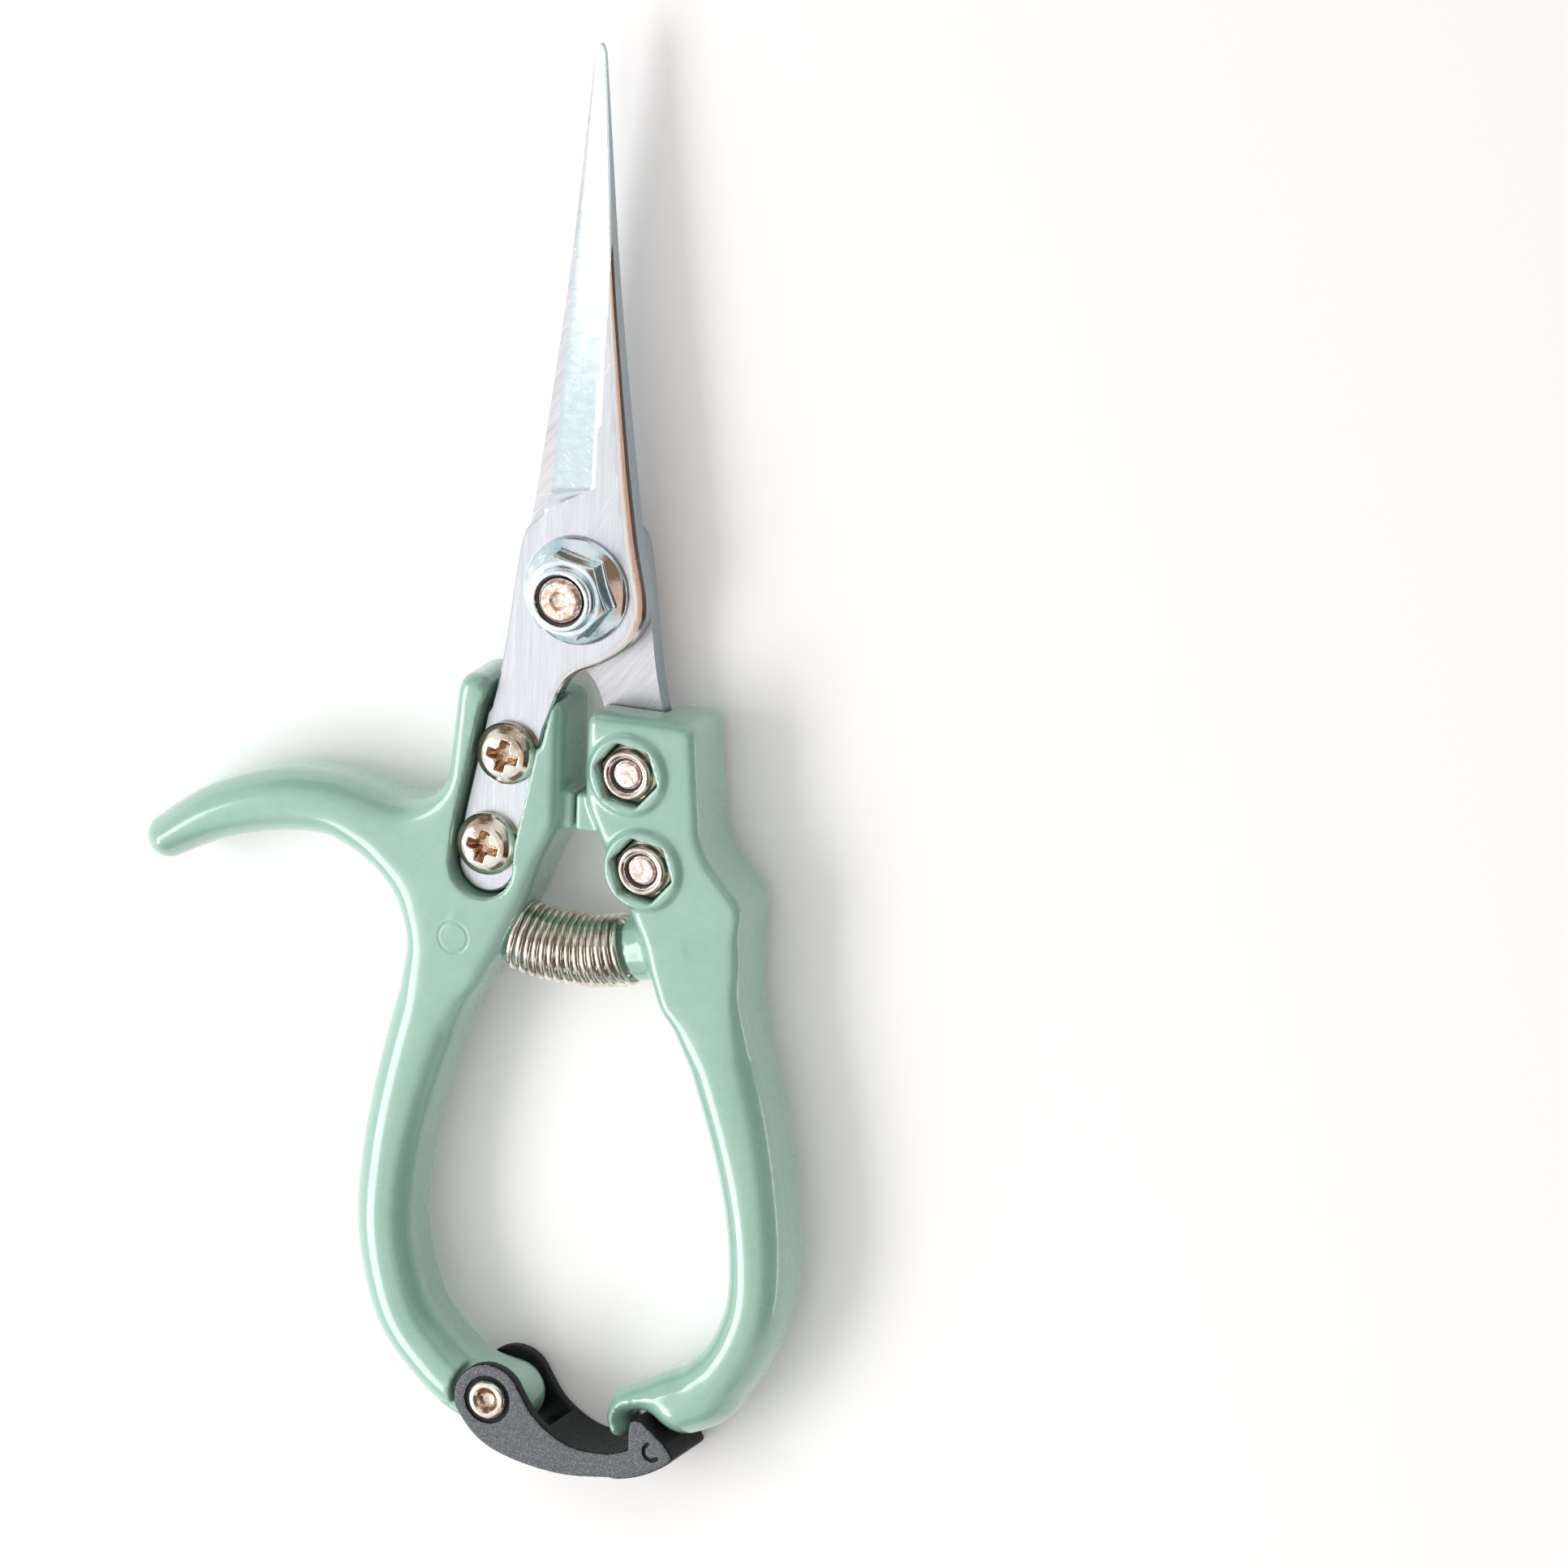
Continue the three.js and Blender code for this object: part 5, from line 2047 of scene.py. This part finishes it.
@dataclass
class Latch:
    """The moulded bar that holds the handles shut, with the dished rivet it swings on.

    Attributes:
        half: half its thickness.
        ear: radius of its ear.
        fork_half: half the width of the slot in its ear.
        bore: radius of the rivet's hole.
        rivet: radius of the rivet's shank.
        flange: radius of the rivet's flanges.
    """

    half: float = 5.5
    ear: float = 4.7
    fork_half: float = 3.8
    bore: float = 1.79
    rivet: float = 1.7
    flange: float = 2.45

    def outline(self) -> np.ndarray:
        """Draws the bar's outline about the rivet.

        Returns:
            Its points.
        """
        turns = np.linspace(0.45, 1.1 * math.pi, 22)
        ear = self.ear * np.stack([np.cos(turns), np.sin(turns)], axis=1)
        under = curve([tuple(ear[-1]), (-3.0, -3.6), (-1.0, -5.5), (1.8, -6.9), (6.1, -8.0),
                       (11.0, -8.5), (16.0, -8.1)], 6)[1:]
        tail = curve([(16.9, -7.95), (18.0, -8.05), (20.2, -7.6), (22.4, -6.75), (24.4, -5.6),
                      (25.5, -4.75), (25.7, -4.1), (24.6, -2.5)], 5)
        spike = np.array([(21.5, 0.05), (20.9, 0.2), (20.3, 0.15), (19.75, -0.15), (19.5, -1.7)])
        inner = curve([(19.6, -3.9), (17.2, -4.7), (14.2, -4.9), (11.2, -4.4), (8.5, -3.0),
                       (6.2, -1.0), tuple(ear[0])], 6)[:-1]
        return np.vstack([ear, under, tail, spike, inner])

    def skin(self, step: float) -> Skin:
        """Makes the bar about its rivet.

        Args:
            step: size of a face, in millimetres.

        Returns:
            Its skin: zone 0 the grained faces, 1 the smooth sides.
        """
        bar = slab(around(self.outline()), -self.half, self.half, 0.28)
        slot = slab(disc(0, 0, self.ear + 1.7), -self.fork_half, self.fork_half)
        turn = math.radians(-17.2)

        def notch(x: np.ndarray, y: np.ndarray) -> np.ndarray:
            """Measures to the slot's notch in plan.

            Args:
                x: places across the tool.
                y: places along it.

            Returns:
                The signed distances.
            """
            u = x * math.cos(turn) + y * math.sin(turn) - 4.2
            v = y * math.cos(turn) - x * math.sin(turn)
            return np.maximum(np.abs(u) - 4.2, np.abs(v) - 2.3)

        slot = slot.plus(slab(notch, -self.fork_half, self.fork_half))
        bar = bar.less(slot, 0.2).less(slab(disc(0, 0, self.bore), -9, 9))
        for face in (1, -1):
            bar = bar.less(self._marks(face), 0.12)
        skin = bar.skin((-4.8, -8.7, -self.half), (25.9, 4.8, self.half), step)
        face = self.half - 0.12
        return skin.zoned(lambda middle, normal: (np.abs(normal[:, 2]) < 0.75) | (
            np.abs(middle[:, 2]) < face))

    def _marks(self, face: int) -> Form:
        """Shapes the shallow marks in one face: a ring at the ear and an arc on the tail.

        Args:
            face: 1 for the front face, -1 for the back.

        Returns:
            The room they take.
        """
        deep = self.half - 0.3

        def distance(at: Spot) -> np.ndarray:
            """Measures to the marks.

            Args:
                at: where it is wanted.

            Returns:
                The distances.
            """
            far = np.hypot(at.x, at.y)
            ring = np.abs(far - 2.85) - 0.25
            x, y = at.x - 22.9, at.y + 3.7
            arc = np.maximum(np.abs(np.hypot(x, y) - 1.1) - 0.2, 0.8 * x + 0.6 * y - 0.3)
            return np.maximum(np.minimum(ring, arc), deep - face * at.z)

        return Form(distance)

    def rivet_skin(self, step: float) -> Skin:
        """Makes the rivet about its own axis, its ends dished and rolled over.

        Args:
            step: size of a face, in millimetres.

        Returns:
            Its skin: zone 1 is the dishes.
        """
        face = self.half + 0.05
        outer = face + 0.4
        dish = [(0.0, 1.15), (0.75, 1.05), (1.15, 0.80), (1.45, 0.30), (1.75, 0.0)]
        rim = [(self.flange - 0.25, 0.05), (self.flange, 0.25)]
        profile = [(r, -outer + z) for r, z in dish + rim] + [
            (self.flange, -face), (self.rivet, -face), (self.rivet, face), (self.flange, face)]
        profile += [(r, outer - z) for r, z in reversed(dish + rim)]
        skin = turned(profile).skin(
            (-self.flange, -self.flange, -outer), (self.flange, self.flange, outer), step)
        dish_edge = 1.52
        return skin.zoned(lambda middle, _: np.hypot(middle[:, 0], middle[:, 1]) < dish_edge)

    def build(self, bench: Bench) -> None:
        """Makes and lays the latch and its rivet.

        Args:
            bench: where they are laid.
        """
        x, y = bench.hinge("latch_pivot")
        bench.lay("latch", self.skin(0.2 * bench.fine).moved(x, y, 0), LATCH_FACE, LATCH_SIDE)
        rivet = self.rivet_skin(0.1 * bench.fine).moved(x, y, 0)
        # The rivet's dishes take the darker nickel: painted shade in the dishes.
        bench.lay("latch_rivet", rivet, NICKEL, RECESS_SHADE_NICKEL)


# ------------------------------------------------------------------ studio
class Patch(NamedTuple):
    """A round patch of the surroundings in a colour of its own.

    Attributes:
        way: from the tool towards its middle.
        start: cosine of the angle from its middle at which it begins to show.
        end: cosine of the angle within which it shows fully.
        colour: its colour.
    """

    way: tuple[float, float, float]
    start: float
    end: float
    colour: Colour


@dataclass
class Studio:
    """The pale floor, the soft lights and the camera.

    Attributes:
        back: from the tool towards the camera.
        right: the camera's right.
        up: the camera's up.
        aim: how far right and up of the pivot the camera looks, in metres.
        distance: camera to the aim.
        lens: focal length in millimetres.
        sensor: width of the film, in millimetres.
        floor_reach: half the floor's width, in metres.
        floor_drop: how far under the tool it lies, in metres.
        floor_tone: its colour.
        floor_glow: how strongly it shines by itself, to stay pale under the tool.
        surround: colour of the surroundings where there is no patch.
        strength: brightness of the surroundings.
        patches: the patches, each laid over those before it.
    """

    back: Vector = Vector((0.3604, 0.2761, 0.8910))
    right: Vector = Vector((0.9234, 0.0296, -0.3827))
    up: Vector = Vector((-0.1319, 0.9607, -0.2443))
    aim: Point = (0.0252, -0.0254)
    distance: float = 4.428
    lens: float = 800.0
    sensor: float = 36.0
    floor_reach: float = 3.0
    floor_drop: float = 0.0003
    floor_tone: Colour = (0.97, 0.97, 0.97)
    floor_glow: float = 0.10
    surround: Colour = (0.77, 0.78, 0.79)
    strength: float = 1.07
    patches: tuple[Patch, ...] = (
        Patch((-0.36, -0.276, 0.89), 0.80, 0.96, (1.0, 1.0, 1.0)),
        Patch((-0.90, -0.276, 0.33), 0.93, 0.98, (0.95, 0.98, 1.0)),
        Patch((0.44, -0.276, 0.855), 0.93, 0.985, (0.66, 0.42, 0.31)),
        Patch((0.80, -0.27, 0.53), 0.87, 0.94, (0.07, 0.03, 0.018)),
        Patch((0.36, 0.276, 0.89), 0.93, 0.98, (0.22, 0.13, 0.08)),
        Patch((1.0, 0.15, 0.12), 0.62, 0.93, (0.13, 0.13, 0.13)),
        Patch((-0.35, 0.88, 0.32), 0.90, 0.98, (0.20, 0.14, 0.10)),
        Patch((0.15, -0.95, 0.30), 0.90, 0.98, (0.16, 0.14, 0.13)))

    def camera(self, pivot: Vector) -> None:
        """Sets up the camera.

        Args:
            pivot: where the tool's pivot stands.
        """
        data = bpy.data.cameras.new("camera")
        data.lens = self.lens
        data.sensor_width = self.sensor
        data.clip_start = 0.05
        camera = bpy.data.objects.new("camera", data)
        spot = pivot + self.right * self.aim[0] + self.up * self.aim[1] + self.back * self.distance
        turn = Matrix((self.right, self.up, self.back)).transposed().to_4x4()
        camera.matrix_world = Matrix.Translation(spot) @ turn
        bpy.context.scene.collection.objects.link(camera)
        bpy.context.scene.camera = camera

    def floor(self) -> None:
        """Lays a wide pale floor just under the tool."""
        mesh = bpy.data.meshes.new("floor")
        corners = [(x * self.floor_reach, y * self.floor_reach, -self.floor_drop)
                   for x, y in ((-1, -1), (1, -1), (1, 1), (-1, 1))]
        mesh.from_pydata(corners, [], [(0, 1, 2, 3)])
        tree = Tree("pale_floor")
        tree.set(Base_Color=self.floor_tone, Roughness=0.9, Specular_IOR_Level=0.1,
                 Emission_Color=(1.0, 1.0, 1.0), Emission_Strength=self.floor_glow)
        mesh.materials.append(tree.material)
        floor = bpy.data.objects.new("floor", mesh)
        bpy.context.scene.collection.objects.link(floor)

    def lamp(self, name: str, way: Vector, size: Point, power: float, away: float) -> None:
        """Hangs a soft lamp.

        Args:
            name: the lamp's name.
            way: from the tool towards it.
            size: its width and length, in metres.
            power: in watts.
            away: its distance, in metres.
        """
        data = bpy.data.lights.new(name, "AREA")
        data.shape = "RECTANGLE"
        data.size, data.size_y = size
        data.energy = power
        lamp = bpy.data.objects.new(name, data)
        lamp.location = way.normalized() * away + Vector((0, -0.02, 0))
        z = way.normalized()
        x = Vector((0, 1, 0)).cross(z).normalized()
        turn = Matrix((x, z.cross(x), z)).transposed().to_4x4()
        lamp.matrix_world = Matrix.Translation(lamp.location) @ turn
        bpy.context.scene.collection.objects.link(lamp)

    def sky(self) -> None:
        """Paints the soft surroundings: white to the left, dark brown low on the right."""
        world = bpy.data.worlds.new("studio")
        bpy.context.scene.world = world
        world.use_nodes = True
        nodes, links = world.node_tree.nodes, world.node_tree.links
        place = nodes.new("ShaderNodeTexCoord")
        tone: bpy.types.NodeSocket | None = None
        for patch in self.patches:
            dot = nodes.new("ShaderNodeVectorMath")
            dot.operation = "DOT_PRODUCT"
            links.new(place.outputs["Generated"], dot.inputs[0])
            dot.inputs[1].default_value = Vector(patch.way).normalized()
            reach = nodes.new("ShaderNodeMapRange")
            reach.interpolation_type = "SMOOTHSTEP"
            links.new(dot.outputs["Value"], reach.inputs["Value"])
            reach.inputs["From Min"].default_value = patch.start
            reach.inputs["From Max"].default_value = patch.end
            mix = nodes.new("ShaderNodeMix")
            mix.data_type = "RGBA"
            links.new(reach.outputs["Result"], mix.inputs[0])
            if tone is None:
                mix.inputs[6].default_value = (*self.surround, 1.0)
            else:
                links.new(tone, mix.inputs[6])
            mix.inputs[7].default_value = (*patch.colour, 1.0)
            tone = mix.outputs[2]
        links.new(tone, nodes["Background"].inputs["Color"])
        nodes["Background"].inputs["Strength"].default_value = self.strength

    def build(self, pivot: Vector) -> None:
        """Sets the whole studio up round the tool.

        Args:
            pivot: where the tool's pivot stands.
        """
        bpy.context.scene.view_settings.view_transform = "Standard"
        self.camera(pivot)
        self.floor()
        self.sky()
        self.lamp("left_box", Vector((-0.68, -0.276, 0.68)), (0.34, 0.80), 4.2, 0.9)
        self.lamp("window_strip", Vector((0.96, -0.27, 0.02)), (0.04, 0.5), 0.35, 0.8)


# ------------------------------------------------------------------ assembly
def main() -> None:
    """Builds every sub-assembly over the frame and sets up the studio."""
    logging.basicConfig(level=logging.INFO, format="%(name)s: %(message)s")
    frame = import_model()
    bench = Bench(frame["record"], 1.0)
    ThumbHandle().build(bench)
    PalmHandle().build(bench)
    Blade().build(bench)
    Pivot().build(bench)
    for number in (1, 2):
        for behind in (False, True):
            TangFastener().build(bench, number, behind)
    ReturnSpring().build(bench)
    Latch().build(bench)
    Studio().build(Vector(bench.joints["blade_pivot"]["pos_m"]))


if __name__ == "__main__":
    main()
